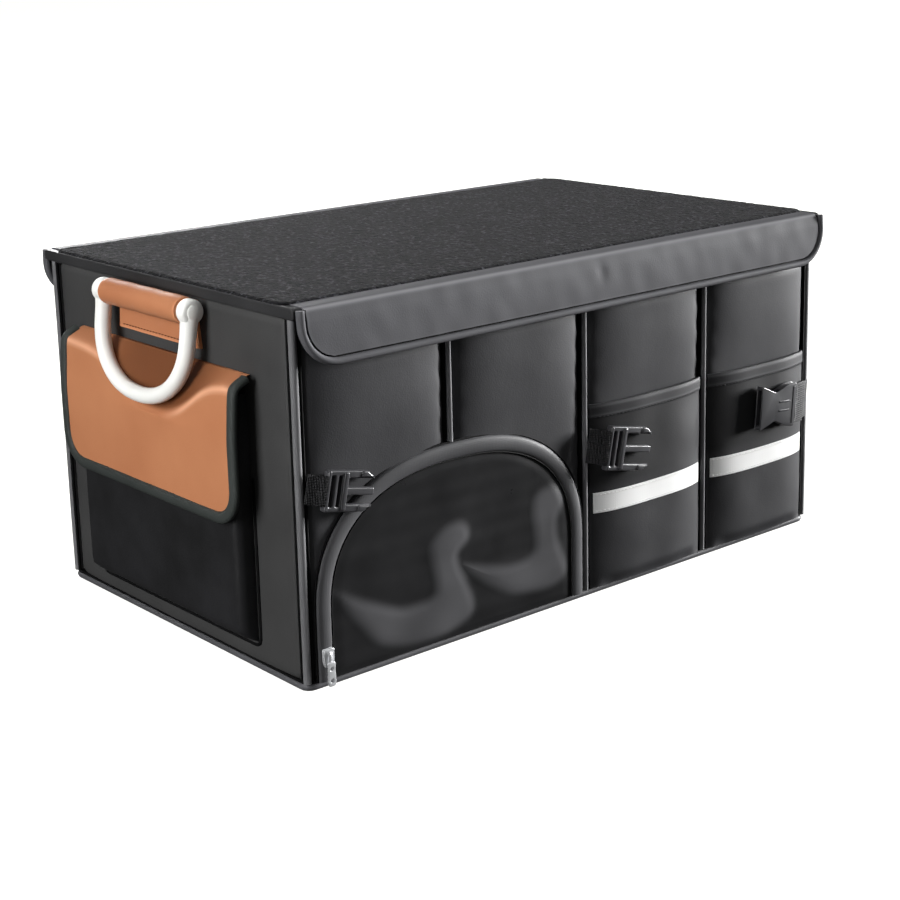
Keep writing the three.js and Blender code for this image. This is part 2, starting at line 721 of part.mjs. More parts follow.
function addSidePocket() {
  const section = polygon([
    [CLEARANCE, SIDE_POCKET_FOOT], [SIDE_POCKET_DEEP, SIDE_POCKET_FOOT],
    [SIDE_POCKET_DEEP, gussetBend], [GUSSET_TOP_DEEP, gussetTop], [CLEARANCE, gussetTop],
  ]);
  const bag = alongSide(section, FRONT, SIDE_POCKET_HALF);
  const insideHalf = SIDE_POCKET_HALF - SIDE_POCKET_SKIN;
  const inside = block(-insideHalf, SIDE_POCKET_FOOT + SIDE_POCKET_SKIN, -SPARE, insideHalf, HEIGHT,
    SIDE_POCKET_DEEP - SIDE_POCKET_SKIN);
  const mouth = block(-insideHalf, pocketMouth, -SPARE, insideHalf, HEIGHT, SIDE_POCKET_DEEP + SPARE);
  const pocket = cut(bag, inside, mouth);
  addPiece('side_pocket', pocket.translate(0, -halfLength, 0).rotateZ(LEFT), darkCloth);
}

// The height of the crease over the flap's shoulder, scooped under the handle
function creaseUp(across) {
  const share = (Math.abs(across) - SCOOP_FLAT) / (SCOOP_HALF - SCOOP_FLAT);
  const limited = Math.min(Math.max(share, 0), 1);
  return scoopUp + (crestUp - scoopUp) * limited ** SCOOP_POWER;
}

function addFlap() {
  const seamOut = CLEARANCE + FLAP;
  const rings = [];
  for (let step = 0; step <= SCOOP_STEPS; step += 1) {
    const across = FLAP_HALF * (2 * step / SCOOP_STEPS - 1);
    const crease = creaseUp(across);
    const outer = [[seamOut, flapSeam], [SIDE_POCKET_DEEP, crease], [flapOuter, flapBend + CLEARANCE]];
    const inner = outer.map(([out, up]) => [out - FLAP, up]).reverse();
    rings.push([...outer, ...inner].map(([out, up]) => [across, -(halfLength + out), up]));
  }
  addPiece('flap_shoulder', loft(rings).rotateZ(LEFT), tan);

  const sizes = [FLAP_HALF, flapBend - CLEARANCE, flapFoot, FLAP_CORNER, FLAP_BINDING];
  const face = extrude(flapPanel(...sizes), FLAP);
  addPiece('flap_face', onSide(face, LEFT, halfLength + flapInner), tan);
  const binding = extrude(flapBinding(...sizes), FLAP + FLAP_BINDING_PROUD);
  addPiece('flap_binding', onSide(binding, LEFT, halfLength + flapInner), darkCloth);
}

// How far the left handle tilts to rest on the scooped shoulder of the flap, or on its face where
// that comes up behind the handle
function handleRestTilt() {
  const top = new THREE.Vector2(CLEARANCE + FLAP, flapSeam);
  const low = new THREE.Vector2(SIDE_POCKET_DEEP, scoopUp);
  const slope = low.clone().sub(top).normalize();
  const bottomUp = handlePivotUp - HANDLE_DROP;
  const reach = HANDLE_TUBE / 2 + 2 * CLEARANCE;
  const onShoulder = top.x + (reach + (top.y - bottomUp) * slope.x) / -slope.y;
  const faceBehind = bottomUp - HANDLE_TUBE / 2 < flapBend;
  const out = faceBehind ? Math.max(onShoulder, flapOuter + reach) : onShoulder;
  return Math.asin((out - HANDLE_PIVOT_OUT) / HANDLE_DROP);
}

addFloor();
addWalls();
addPipings();
addDividers();
addLid();
addFrontClosure(addSkirt(FRONT, 'front_skirt', 'front_skirt_binding'));
addSkirt(BACK, 'back_skirt', 'back_skirt_binding');
addArchPocket();
addSlider();
addFrontPocket('front_pocket_1', 'reflective_strip_1', frontSpans[2]);
addFrontPocket('front_pocket_2', 'reflective_strip_2', frontSpans[3]);

addBuckles();
addHandle('left', LEFT, handleRestTilt());
addHandle('right', RIGHT, 0);
addSidePocket();
addFlap();

export default organizer;
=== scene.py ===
import math

import bmesh
import bpy
import numpy as np
from mathutils import Matrix, Vector


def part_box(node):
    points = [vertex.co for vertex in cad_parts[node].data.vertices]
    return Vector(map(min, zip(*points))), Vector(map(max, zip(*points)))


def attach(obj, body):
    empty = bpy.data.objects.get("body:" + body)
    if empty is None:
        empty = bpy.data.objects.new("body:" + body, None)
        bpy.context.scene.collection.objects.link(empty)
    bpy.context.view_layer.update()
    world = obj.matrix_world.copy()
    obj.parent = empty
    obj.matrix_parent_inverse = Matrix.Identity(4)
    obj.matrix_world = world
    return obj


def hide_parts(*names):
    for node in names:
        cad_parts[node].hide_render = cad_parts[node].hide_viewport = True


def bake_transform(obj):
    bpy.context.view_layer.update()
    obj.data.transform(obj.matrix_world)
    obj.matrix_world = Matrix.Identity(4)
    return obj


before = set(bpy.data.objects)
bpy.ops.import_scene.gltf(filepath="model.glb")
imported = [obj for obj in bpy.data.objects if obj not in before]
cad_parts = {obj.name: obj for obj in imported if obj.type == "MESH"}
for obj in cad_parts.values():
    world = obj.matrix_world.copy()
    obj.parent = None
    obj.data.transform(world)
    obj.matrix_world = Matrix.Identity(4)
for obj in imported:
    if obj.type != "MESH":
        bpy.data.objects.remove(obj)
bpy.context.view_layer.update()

# Sizes in millimetres, as in the part's source
MM = 0.001
HALF_LENGTH = 280.0
HALF_WIDTH = 170.0
WALL = 8.0
WALL_FOOT = 6.3
WALL_TOP = 274.7
SEAMS = (-140.0, 0.0, 140.0)
LID_UNDER = 275.0
LID_BOARD_TOP = 283.2
LID_EDGE = 176.0
SKIRT_TOP_OUT = 176.3
SKIRT_LEAN = math.radians(4)
SKIRT_HALF = 281.0
SKIRT_DROP = 43.0
SKIRT_CORNER = 32.0
ARCH_LEFT, ARCH_RIGHT = -270.0, -5.0
ARCH_TOP = 160.0
ARCH_SPRING = 55.0
ARCH_POWER = 2.4
ZIP_BAND = 13.5
BAND_OUT = 170.3
POCKET_TOP = 161.0
POCKET_SLACK = 5.5
STRIP_LOW, STRIP_HIGH = 70.0, 87.0
HANDLE_HALF = 61.0
HANDLE_TUBE = 12.5
HANDLE_DROP = 71.5
HANDLE_STRAIGHT = 22.0
HANDLE_POWER = 2.2
PIVOT_UP = 267.0
PIVOT_OUT = 12.0
FLAP_HALF = 125.0
FLAP_SEAM = 228.0
FLAP_BEND = 183.0
FLAP_FOOT = 117.0
FLAP_CORNER = 28.0
SIDE_POCKET_HALF = 112.0
SIDE_POCKET_FOOT = 23.0
SIDE_POCKET_DEEP = 18.0
POCKET_MOUTH = 135.0

FRONT, RIGHT, BACK, LEFT = 0.0, math.pi / 2, math.pi, -math.pi / 2
ENDS = (("left", -1), ("right", 1))


# Shape helpers

def on_side(side, across, out, up):
    """Points given as across a side, outwards from the middle of the box, and up."""
    across, out, up = np.broadcast_arrays(across, out, up)
    x = across * math.cos(side) + out * math.sin(side)
    y = across * math.sin(side) - out * math.cos(side)
    return np.stack([x, y, up], axis=-1).astype(float)


def ripple(a, b, wavelength, seed):
    """A smooth seeded unevenness from -1 to 1 over two coordinates."""
    rng = np.random.default_rng(seed)
    total = np.zeros(np.broadcast(a, b).shape)
    for _ in range(6):
        angle, phase = rng.uniform(0, 2 * math.pi), rng.uniform(0, 2 * math.pi)
        stretch = rng.uniform(0.7, 1.5)
        along = a * math.cos(angle) + b * math.sin(angle)
        total += np.sin(2 * math.pi * along / (wavelength * stretch) + phase)
    return total / 6


def smoothstep(low, high, value):
    t = np.clip((value - low) / (high - low), 0, 1)
    return t * t * (3 - 2 * t)


def hump(value, middle, width):
    """A bump of height 1 about a middle."""
    return np.exp(-((value - middle) / width) ** 2)


def edge_drop(depth, reach):
    """How far a rounded edge falls back: 1 at the edge itself, 0 from its reach inwards."""
    return 1 - np.sqrt(np.clip(1 - (1 - np.clip(depth / reach, 0, 1)) ** 2, 0, 1))


def half_width(up, half, foot, radius):
    """Half the width of a flap with round lower corners at each height."""
    rise = np.clip(foot + radius - up, 0, radius)
    return half - radius + np.sqrt(np.clip(radius ** 2 - rise ** 2, 0, None))


def link(name, data):
    obj = bpy.data.objects.new(name, data)
    bpy.context.scene.collection.objects.link(obj)
    return obj


def build(name, shape, material, replaces=(), body="root", crease=40):
    """An object from points in millimetres and faces, shaded smooth up to a crease angle."""
    verts, faces = shape
    mesh = bpy.data.meshes.new(name)
    mesh.from_pydata((np.asarray(verts, float) * MM).tolist(), [], [tuple(map(int, f)) for f in faces])
    work = bmesh.new()
    work.from_mesh(mesh)
    bmesh.ops.remove_doubles(work, verts=work.verts, dist=1e-7)
    bmesh.ops.recalc_face_normals(work, faces=work.faces)
    work.to_mesh(mesh)
    work.free()
    mesh.materials.append(material)
    mesh.shade_smooth()
    mesh.set_sharp_from_angle(angle=math.radians(crease))
    obj = link(name, mesh)
    if body:
        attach(obj, body)
    if replaces:
        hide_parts(*replaces)
    return obj


def places_of(obj):
    """The x, y and z of a mesh's points, in millimetres."""
    return (np.array([v.co for v in obj.data.vertices]) / MM).T


def paint(obj, **shares):
    """Shares from 0 to 1 over a mesh's points, which its material reads by their names."""
    for name, values in shares.items():
        obj.data.attributes.new(name, "FLOAT", "POINT").data.foreach_set("value", np.clip(values, 0, 1))


def grid_faces(rows, cols, wrap_rows=False, wrap_cols=False, start=0):
    faces = []
    for r in range(rows if wrap_rows else rows - 1):
        for c in range(cols if wrap_cols else cols - 1):
            here, above = start + r * cols, start + (r + 1) % rows * cols
            faces.append((here + c, here + (c + 1) % cols, above + (c + 1) % cols, above + c))
    return faces


def slab_mesh(front, back):
    """A closed sheet between two grids of points of the same shape."""
    rows, cols = front.shape[:2]
    n = rows * cols
    verts = np.concatenate([front.reshape(-1, 3), back.reshape(-1, 3)])
    faces = grid_faces(rows, cols) + [tuple(reversed(f)) for f in grid_faces(rows, cols, start=n)]
    edge = [(0, c) for c in range(cols)] + [(r, cols - 1) for r in range(1, rows)]
    edge += [(rows - 1, c) for c in range(cols - 2, -1, -1)] + [(r, 0) for r in range(rows - 2, 0, -1)]
    ids = [r * cols + c for r, c in edge]
    for a, b in zip(ids, ids[1:] + ids[:1]):
        faces.append((b, a, a + n, b + n))
    return verts, faces


def side_slab(side, across, front_out, back_out, up):
    """A closed sheet on a side, between two distances out."""
    return slab_mesh(on_side(side, across, front_out, up), on_side(side, across, back_out, up))


def sweep_mesh(path, normals, section, closed=False, scale=1.0):
    """A closed section, as across and along the normal, run along a path, with flat ends."""
    path = np.asarray(path, float)
    normals = np.broadcast_to(np.asarray(normals, float), path.shape)
    if closed:
        tangent = np.roll(path, -1, 0) - np.roll(path, 1, 0)
    else:
        tangent = np.gradient(path, axis=0)
    tangent /= np.linalg.norm(tangent, axis=1, keepdims=True)
    across = np.cross(tangent, normals)
    across /= np.linalg.norm(across, axis=1, keepdims=True)
    normal = np.cross(across, tangent)
    section = np.asarray(section, float)
    size = np.broadcast_to(np.asarray(scale, float), len(path))[:, None, None]
    rings = (path[:, None] + across[:, None] * section[None, :, :1] * size
             + normal[:, None] * section[None, :, 1:] * size)
    rows, cols = rings.shape[:2]
    faces = grid_faces(rows, cols, wrap_rows=closed, wrap_cols=True)
    if not closed:
        faces += [tuple(range(cols)), tuple((rows - 1) * cols + c for c in range(cols - 1, -1, -1))]
    return rings.reshape(-1, 3), faces


def merged(*meshes):
    verts, faces, count = [], [], 0
    for v, f in meshes:
        verts.append(np.asarray(v, float))
        faces += [tuple(i + count for i in face) for face in f]
        count += len(v)
    return np.concatenate(verts), faces


def full_turn(count):
    return np.linspace(0, 2 * math.pi, count, endpoint=False)


def ellipse(wide, tall, sides=20, power=2.0):
    """Points of an ellipse, which a power above 2 makes squarer."""
    c, s = np.cos(full_turn(sides)), np.sin(full_turn(sides))
    return np.stack([wide / 2 * np.sign(c) * np.abs(c) ** (2 / power),
                     tall / 2 * np.sign(s) * np.abs(s) ** (2 / power)], axis=-1)


def resample(points, step):
    """The same line with points an even step apart."""
    points = np.asarray(points, float)
    lengths = np.concatenate([[0], np.cumsum(np.linalg.norm(np.diff(points, axis=0), axis=1))])
    count = max(int(round(lengths[-1] / step)), 2) + 1
    at = np.linspace(0, lengths[-1], count)
    return np.stack([np.interp(at, lengths, column) for column in points.T], axis=-1)


def softened(points, passes):
    """A line, or rows of a grid, with its corners rounded and its two ends kept."""
    points = np.array(points, float)
    for _ in range(passes):
        points[1:-1] = (points[:-2] + 2 * points[1:-1] + points[2:]) / 4
    return points


def corner_arc(before, corner, after, radius, count):
    """Points that round off a corner between its two neighbours."""
    a, b = (corner + (p - corner) / np.linalg.norm(p - corner) * radius for p in (before, after))
    return [(1 - t) ** 2 * a + 2 * t * (1 - t) * corner + t * t * b for t in np.linspace(0, 1, count)]


def rounded(outline, radius, steps=4):
    """An outline with its corners rounded off."""
    outline = np.asarray(outline, float)
    points = []
    for before, corner, after in zip(np.roll(outline, 1, 0), outline, np.roll(outline, -1, 0)):
        reach = min(radius, *(np.linalg.norm(p - corner) * 0.45 for p in (before, after)))
        points += corner_arc(before, corner, after, reach, steps + 1)
    return points


def rounded_open(points, radius):
    """An open line with its inner corners rounded off."""
    points = np.asarray(points, float)
    line = [points[0]]
    for before, corner, after in zip(points[:-2], points[1:-1], points[2:]):
        line += corner_arc(before, corner, after, radius, 7)
    return np.array([*line, points[-1]])


def box_outline(left, low, right, high):
    return [(left, low), (right, low), (right, high), (left, high)]


def plate_mesh(outline, low, high, bevel, holes=()):
    """A flat plate with rounded edges, from an outline in two coordinates, between two heights."""
    curve = bpy.data.curves.new("outline", "CURVE")
    curve.dimensions = "2D"
    curve.fill_mode = "BOTH"
    curve.extrude = (high - low) / 2 - bevel
    curve.bevel_depth = bevel
    curve.bevel_resolution = 3
    curve.offset = -bevel
    for ring in (outline, *holes):
        spline = curve.splines.new("POLY")
        spline.points.add(len(ring) - 1)
        for point, (x, y) in zip(spline.points, ring):
            point.co = (x, y, 0, 1)
        spline.use_cyclic_u = True
    obj = link("outline", curve)
    mesh = bpy.data.meshes.new_from_object(obj.evaluated_get(bpy.context.evaluated_depsgraph_get()))
    verts = np.array([v.co for v in mesh.vertices]).reshape(-1, 3) + (0, 0, (low + high) / 2)
    faces = [tuple(p.vertices) for p in mesh.polygons]
    bpy.data.objects.remove(obj)
    bpy.data.curves.remove(curve)
    bpy.data.meshes.remove(mesh)
    return verts, faces


def capsule_row(path, normals, length=3.0, gap=1.3, radius=0.42):
    """Stitches along a path: small rounded thread pieces that dip at both ends."""
    points = resample(path, (length + gap) / 6)
    normals = np.broadcast_to(np.asarray(normals, float), (len(path), 3))
    where, at = np.linspace(0, 1, len(path)), np.linspace(0, 1, len(points))
    normals = np.stack([np.interp(at, where, column) for column in normals.T], axis=-1)
    meshes = []
    t = np.linspace(0, 1, 5)[:, None]
    for i in range(0, len(points) - 6, 6):
        start, end = points[i], points[i] + (points[i + 6] - points[i]) * (length / (length + gap))
        line = start + (end - start) * t + normals[i] * radius * (1.2 * np.sin(math.pi * t) - 0.5)
        meshes.append(sweep_mesh(line, normals[i], ellipse(2 * radius, 2 * radius, 6),
                                 scale=[0.5, 0.95, 1, 0.95, 0.5]))
    return merged(*meshes)


# Materials

def finish(name, base, dark, rough, bumps, spread=0.06, mottle=14, flecks=None, wear=0.0, gloss=0.3, tints=(),
           fixed=()):
    """A procedural finish: two tones of colour, uneven roughness, worn edges and layers of relief."""
    material = bpy.data.materials.new(name)
    material.use_nodes = True
    nodes, links = material.node_tree.nodes, material.node_tree.links
    coords = nodes.new("ShaderNodeTexCoord").outputs["Object"]

    def fill(node, values):
        """Set a node's inputs, or link those whose value is another node's output."""
        for socket, value in values.items():
            if isinstance(value, bpy.types.NodeSocket):
                links.new(value, node.inputs[socket])
            else:
                node.inputs[socket].default_value = value
        return node

    def texture(kind, scale):
        """A height from 0 to 1."""
        values = {"Vector": coords, "Scale": scale}
        if kind == "noise":
            return fill(nodes.new("ShaderNodeTexNoise"), {**values, "Detail": 3}).outputs["Fac"]
        if kind == "cells":
            cells = nodes.new("ShaderNodeTexVoronoi")
            cells.feature = "SMOOTH_F1"
            return fill(cells, values).outputs["Distance"]
        total = None
        for direction in "XYZ":
            wave = nodes.new("ShaderNodeTexWave")
            wave.bands_direction = direction
            level = fill(wave, {**values, "Distortion": 0.25}).outputs["Fac"]
            if total is not None:
                both = nodes.new("ShaderNodeMath")
                both.operation = "MULTIPLY" if kind == "weave" else "ADD"
                level = fill(both, {0: total, 1: level}).outputs[0]
            total = level
        return total

    def ranged(value, limits):
        return fill(nodes.new("ShaderNodeMapRange"), {"Value": value, **limits}).outputs["Result"]

    def mixed(below, above, share):
        mix = nodes.new("ShaderNodeMix")
        mix.data_type = "RGBA"
        return fill(mix, {6: below, 7: (*above, 1), "Factor": share}).outputs[2]

    colour = mixed((*dark, 1), base, ranged(texture("noise", mottle), {"From Min": 0.3, "From Max": 0.7}))
    if flecks:
        fleck_colour, fleck_scale, low = flecks
        share = ranged(texture("noise", fleck_scale), {"From Min": low, "From Max": low + 0.12})
        colour = mixed(colour, fleck_colour, share)
    if wear:
        point = nodes.new("ShaderNodeNewGeometry").outputs["Pointiness"]
        share = ranged(point, {"From Min": 0.52, "From Max": 0.62, "To Max": wear})
        colour = mixed(colour, [min(1, 2.2 * c + 0.02) for c in base], share)
    for attribute, tint in tints:
        mask = nodes.new("ShaderNodeAttribute")
        mask.attribute_name = attribute
        colour = mixed(colour, tint, mask.outputs["Fac"])
    values = {"Specular IOR Level": gloss, "Base Color": colour, **dict(fixed)}
    limits = {"To Min": rough - spread, "To Max": rough + spread}
    values["Roughness"] = ranged(texture("noise", 4 * mottle), limits)
    for kind, scale, distance, strength in bumps:
        relief = {"Distance": distance, "Strength": strength, "Height": texture(kind, scale)}
        if "Normal" in values:
            relief["Normal"] = values["Normal"]
        values["Normal"] = fill(nodes.new("ShaderNodeBump"), relief).outputs["Normal"]
    fill(nodes["Principled BSDF"], values)
    return material


def srgb(*levels):
    """Linear colour from levels of 0 to 255."""
    return tuple(((c / 255 + 0.055) / 1.055) ** 2.4 if c > 10 else c / 255 / 12.92 for c in levels)


def grey(level, cool=2):
    """A grey with a little more blue."""
    return srgb(level, level, level + cool)


GRAIN = [("noise", 18, 0.0016, 0.35), ("cells", 950, 0.0002, 0.35)]
TAN_GRAIN = [("noise", 24, 0.0009, 0.3), ("cells", 800, 0.0002, 0.35)]
THREAD = [("rib", 900, 0.0001, 0.5)]
leather = finish("black_leather", grey(64), grey(55), 0.54, GRAIN, wear=0.2, gloss=0.09)
end_leather = finish("end_leather", grey(63, 0), grey(54, 0), 0.52, GRAIN, wear=0.2, gloss=0.16)
# The skirt's leather is a lighter copy of the black leather, painted lighter for the light that the skirt
# catches; its ridge tint is a painted highlight along the lid's front fold.
painted_lighter_skirt_leather = finish("painted_lighter_skirt_leather", grey(88, 3), grey(80, 3), 0.58, GRAIN, wear=0.25, gloss=0.05,
                       tints=[("ridge", grey(142, 3))])
cord_leather = finish("cord_leather", grey(84, 3), grey(72), 0.48, GRAIN, wear=0.3, gloss=0.16)
# A lighter copy of the cord leather for the upright cords, painted lighter for light that the lamps do not
# give them.
painted_lighter_cord_leather = finish("painted_lighter_cord_leather", grey(108), grey(94), 0.46, GRAIN, wear=0.3, gloss=0.2)
rim_leather = finish("rim_leather", grey(48, 1), grey(38, 1), 0.5, GRAIN, wear=0.5, gloss=0.16)
band_leather = finish("band_leather", grey(78), grey(66), 0.5,
                      [("noise", 60, 0.0005, 0.3), ("rib", 210, 0.0001, 0.25)], gloss=0.14)
# Near-black seams, and strips of the same black laid into grooves and gaps: partly real dark seams, partly
# painted shade in those grooves.
dark_seam_and_groove_shade = finish("dark_seam_and_groove_shade", grey(10, 1), grey(6, 1), 0.8, [("weave", 420, 0.0002, 0.4)], gloss=0.1)
carpet = finish("carpet_pile", grey(26, 3), grey(16), 0.95,
                [("noise", 420, 0.003, 1.0), ("cells", 260, 0.002, 0.9)], mottle=60,
                flecks=(grey(62, 5), 300, 0.56), gloss=0.1)
cloth = finish("black_cloth", grey(48), grey(36), 0.62,
               [("noise", 22, 0.0014, 0.4), ("weave", 300, 0.00025, 0.6)])
lining = finish("lining_cloth", grey(52), grey(42), 0.85,
                [("noise", 16, 0.001, 0.3), ("weave", 260, 0.0003, 0.6)])
webbing = finish("woven_webbing", grey(44), grey(28, 1), 0.7,
                 [("rib", 170, 0.0005, 0.8), ("weave", 420, 0.0002, 0.5)])
binding = finish("edge_binding", srgb(52, 56, 54), srgb(40, 44, 42), 0.6,
                 [("weave", 330, 0.00025, 0.6), ("noise", 40, 0.0006, 0.3)])
film = finish("window_film", grey(30, 1), grey(22, 1), 0.3, [("noise", 26, 0.0012, 0.25)], spread=0.05,
              gloss=0.2, tints=[("haze", grey(78))])
tan = finish("tan_leather", srgb(180, 120, 84), srgb(168, 108, 74), 0.46, TAN_GRAIN, wear=0.35, gloss=0.2)
# The flap's tints: painted shade in the scoop below the handle, and a painted highlight along the crease's
# crest.
flap_tan = finish("flap_leather_tan", srgb(180, 121, 85), srgb(169, 110, 76), 0.5, TAN_GRAIN, wear=0.2,
                  gloss=0.1, tints=[("scoop", srgb(96, 56, 32)), ("crest", srgb(226, 170, 136))])
# The front pockets' hem tint is a painted highlight along the hem's folds.
pocket_front = finish("front_pocket_leather", grey(51), grey(43), 0.5, GRAIN, wear=0.4, gloss=0.12,
                      tints=[("shade", grey(26, 1)), ("hem", grey(84))])
pocket_cloth = finish("pocket_leather", grey(33), grey(21, 1), 0.46,
                      [("noise", 20, 0.002, 0.4), ("cells", 900, 0.0002, 0.3)])
white_plastic = finish("white_plastic", srgb(240, 240, 236), srgb(230, 231, 227), 0.33,
                       [("noise", 240, 0.0001, 0.25)])
reflective = finish("reflective_tape", grey(242, -1), grey(230, -1), 0.35, [("weave", 150, 0.00015, 0.35)])
buckle_plastic = finish("buckle_plastic", grey(62, 3), grey(50), 0.32, [("noise", 900, 0.00012, 0.4)],
                        wear=0.5, gloss=0.5)
silver = finish("brushed_metal", srgb(214, 215, 217), srgb(190, 192, 195), 0.36,
                [("noise", 500, 0.0001, 0.3)], gloss=0.5, fixed=[("Metallic", 0.45)])
thread = finish("dark_thread", grey(58), grey(40), 0.7, THREAD)
tan_thread = finish("tan_thread", srgb(120, 74, 46), srgb(96, 58, 36), 0.7, THREAD)
hook_tape = finish("hook_tape", grey(40), grey(24, 1), 0.6, [("cells", 700, 0.0012, 1.0)])
loop_tape = finish("loop_tape", grey(46), grey(30, 1), 0.95,
                   [("noise", 600, 0.0012, 1.0), ("noise", 160, 0.0008, 0.6)], gloss=0.1)


# Camera, from the box's corners and vanishing points in the photograph

LENS = 72.04
SHIFT_UP = -0.10
CAMERA_AT = (-0.9702, -1.1606, 0.5315)
CAMERA_YAW, CAMERA_PITCH, CAMERA_ROLL = -40.02, 13.43, -1.40

camera_data = bpy.data.cameras.new("camera")
camera_data.lens = LENS
camera_data.sensor_width = 36
camera_data.shift_y = SHIFT_UP
camera_data.clip_start = 0.01
camera = link("camera", camera_data)
camera.location = CAMERA_AT
turn = Matrix.Rotation(math.radians(CAMERA_YAW), 4, "Z")
tip = Matrix.Rotation(math.radians(90 - CAMERA_PITCH), 4, "X")
roll = Matrix.Rotation(math.radians(CAMERA_ROLL), 4, "Z")
camera.rotation_euler = (turn @ tip @ roll).to_euler()
bpy.context.scene.camera = camera


# Walls

GROOVE_HALF = 4.0
GROOVE_DEEP = 4.4
LONG_HALF = 271.0
END_HALF = 161.0
RIM_BACK = 2.2


def padded_out(across, edges, crown):
    """How far out a padded wall stands: a crown between its seams, and a groove at each of them."""
    out = np.full(across.shape, -GROOVE_DEEP, float)
    for left, right in zip(edges[:-1], edges[1:]):
        low, high = left + GROOVE_HALF, right - GROOVE_HALF
        inside = (across >= low) & (across <= high)
        share = np.clip(2 * (across[inside] - low) / (high - low) - 1, -1, 1)
        side = (1 - np.abs(share) ** 14) ** 0.5
        out[inside] = -GROOVE_DEEP + GROOVE_DEEP * side + crown[inside] * (1 - np.abs(share) ** 3)
    return out


def wall_panel(place, side, half, outer, seams, seed, material):
    edges = [-half - GROOVE_HALF, *seams, half + GROOVE_HALF]
    across = np.unique(np.concatenate([np.linspace(-half, half, int(half * 2 / 3)),
                                       *[s + np.linspace(-5, 5, 11) for s in seams]]))
    across = across[(across >= -half) & (across <= half)]
    a, z = np.meshgrid(across, np.linspace(WALL_FOOT, WALL_TOP, 78))
    crest = outer - 1.0 + 0.35 * ripple(a, z, 90, seed)
    free = smoothstep(ARCH_TOP - 35, ARCH_TOP + 55, z) if side == FRONT else np.ones(a.shape)
    crown = (1.2 + 5.0 * free * smoothstep(250, 234, z)) if seams else np.full(a.shape, 1.4)
    rim = RIM_BACK * edge_drop(WALL_TOP - z, 4)
    foot = RIM_BACK * edge_drop(z - WALL_FOOT, 5)
    near_seam = np.min([np.abs(a - s) for s in seams], axis=0) if seams else np.full(a.shape, 99.0)
    pucker = 0.35 * np.sin(z / 3.4 + a / 7) * hump(near_seam, 7, 5)
    out = crest + padded_out(a, edges, crown) - rim - foot + pucker
    wall = build(f"{place}_wall_leather", side_slab(side, a, out, outer - WALL, z), material,
                 [f"{place}_wall"])


wall_panel("front", FRONT, LONG_HALF, HALF_WIDTH, SEAMS, 1, leather)
wall_panel("back", BACK, LONG_HALF, HALF_WIDTH, SEAMS, 2, leather)
wall_panel("left", LEFT, END_HALF, HALF_LENGTH, (), 3, end_leather)
wall_panel("right", RIGHT, END_HALF, HALF_LENGTH, (), 4, end_leather)


# Pipings

CORNER_CORD = 6.0
SEAM_CORD = 4.2
WELT = 8.4
SEAM_LINE = 2.6
# Each corner's cord lies between a black welt and two thin black lines, which are painted shade in the grooves
# beside it.
CORNER_CORDS = (("cord", 276.8, 166.8, CORNER_CORD, painted_lighter_cord_leather), ("welt", 273.4, 163.4, WELT, dark_seam_and_groove_shade),
                ("line", 278.0, 162.4, SEAM_LINE, dark_seam_and_groove_shade), ("seam", 272.6, 168.0, SEAM_LINE, dark_seam_and_groove_shade))


def upright_cord(name, nodes, x, y, diameter, foot, seed, material):
    up = np.linspace(foot, WALL_TOP, int((WALL_TOP - foot) / 5))
    wave = 0.25 * ripple(up, 0 * up, 70, seed)
    path = np.stack([x + wave, y + wave, up], axis=-1)
    build(name, sweep_mesh(path, (0, -1, 0), ellipse(diameter, diameter)), material, nodes)


# The corner and seam cords use the lighter copy of the cord leather, painted lighter for the light they lack.
for end, right in ENDS:
    for wall, back in (("front", -1), ("back", 1)):
        for kind, x, y, diameter, material in CORNER_CORDS:
            nodes = [f"corner_piping_{wall}_{end}"] if kind == "cord" else ()
            upright_cord(f"corner_{kind}_{wall}_{end}", nodes, right * x, back * y, diameter, WALL_FOOT, 11,
                         material)
for i, x in enumerate(SEAMS, 1):
    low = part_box(f"front_piping_{i}")[0].z / MM
    for wall, y, foot in (("front", -1, low), ("back", 1, WALL_FOOT)):
        upright_cord(f"{wall}_cord_{i}", [f"{wall}_piping_{i}"], x, y * 169.8, SEAM_CORD, foot, 12,
                     painted_lighter_cord_leather)
        # A black welt in each seam's groove is painted shade there.
        upright_cord(f"{wall}_welt_{i}", (), x, y * 165.0, WELT, foot, 12, dark_seam_and_groove_shade)


def ring_path(half_x, half_y, radius, up):
    """A level ring with round corners."""
    points = []
    for quarter in range(4):
        centre_x = (half_x - radius) * (1 if quarter in (0, 3) else -1)
        centre_y = (half_y - radius) * (1 if quarter in (0, 1) else -1)
        for t in np.linspace(0, math.pi / 2, 7):
            angle = quarter * math.pi / 2 + t
            points.append((centre_x + radius * math.cos(angle), centre_y + radius * math.sin(angle), up))
    return resample([*points, points[0]], 3.0)[:-1]


# A thin black line above the base cord, as painted shade in the gap there.
base_seam = ring_path(HALF_LENGTH - 1.6, HALF_WIDTH - 1.6, 7.4, 6.6)
build("base_seam", sweep_mesh(base_seam, (0, 0, 1), ellipse(2.4, 2.2, 8), closed=True), dark_seam_and_groove_shade)
base = ring_path(HALF_LENGTH - 3, HALF_WIDTH - 3, 6, 3)
build("base_cord", sweep_mesh(base, (0, 0, 1), ellipse(6, 6, 16), closed=True), cord_leather,
      ["base_piping"])


# Lid

LID_HALF = 278.5
CARPET_X, CARPET_Y, CARPET_CORNER = 281.0, 162.0, 12.0
CARPET_TOP, CARPET_UNDER = 285.0, 283.3

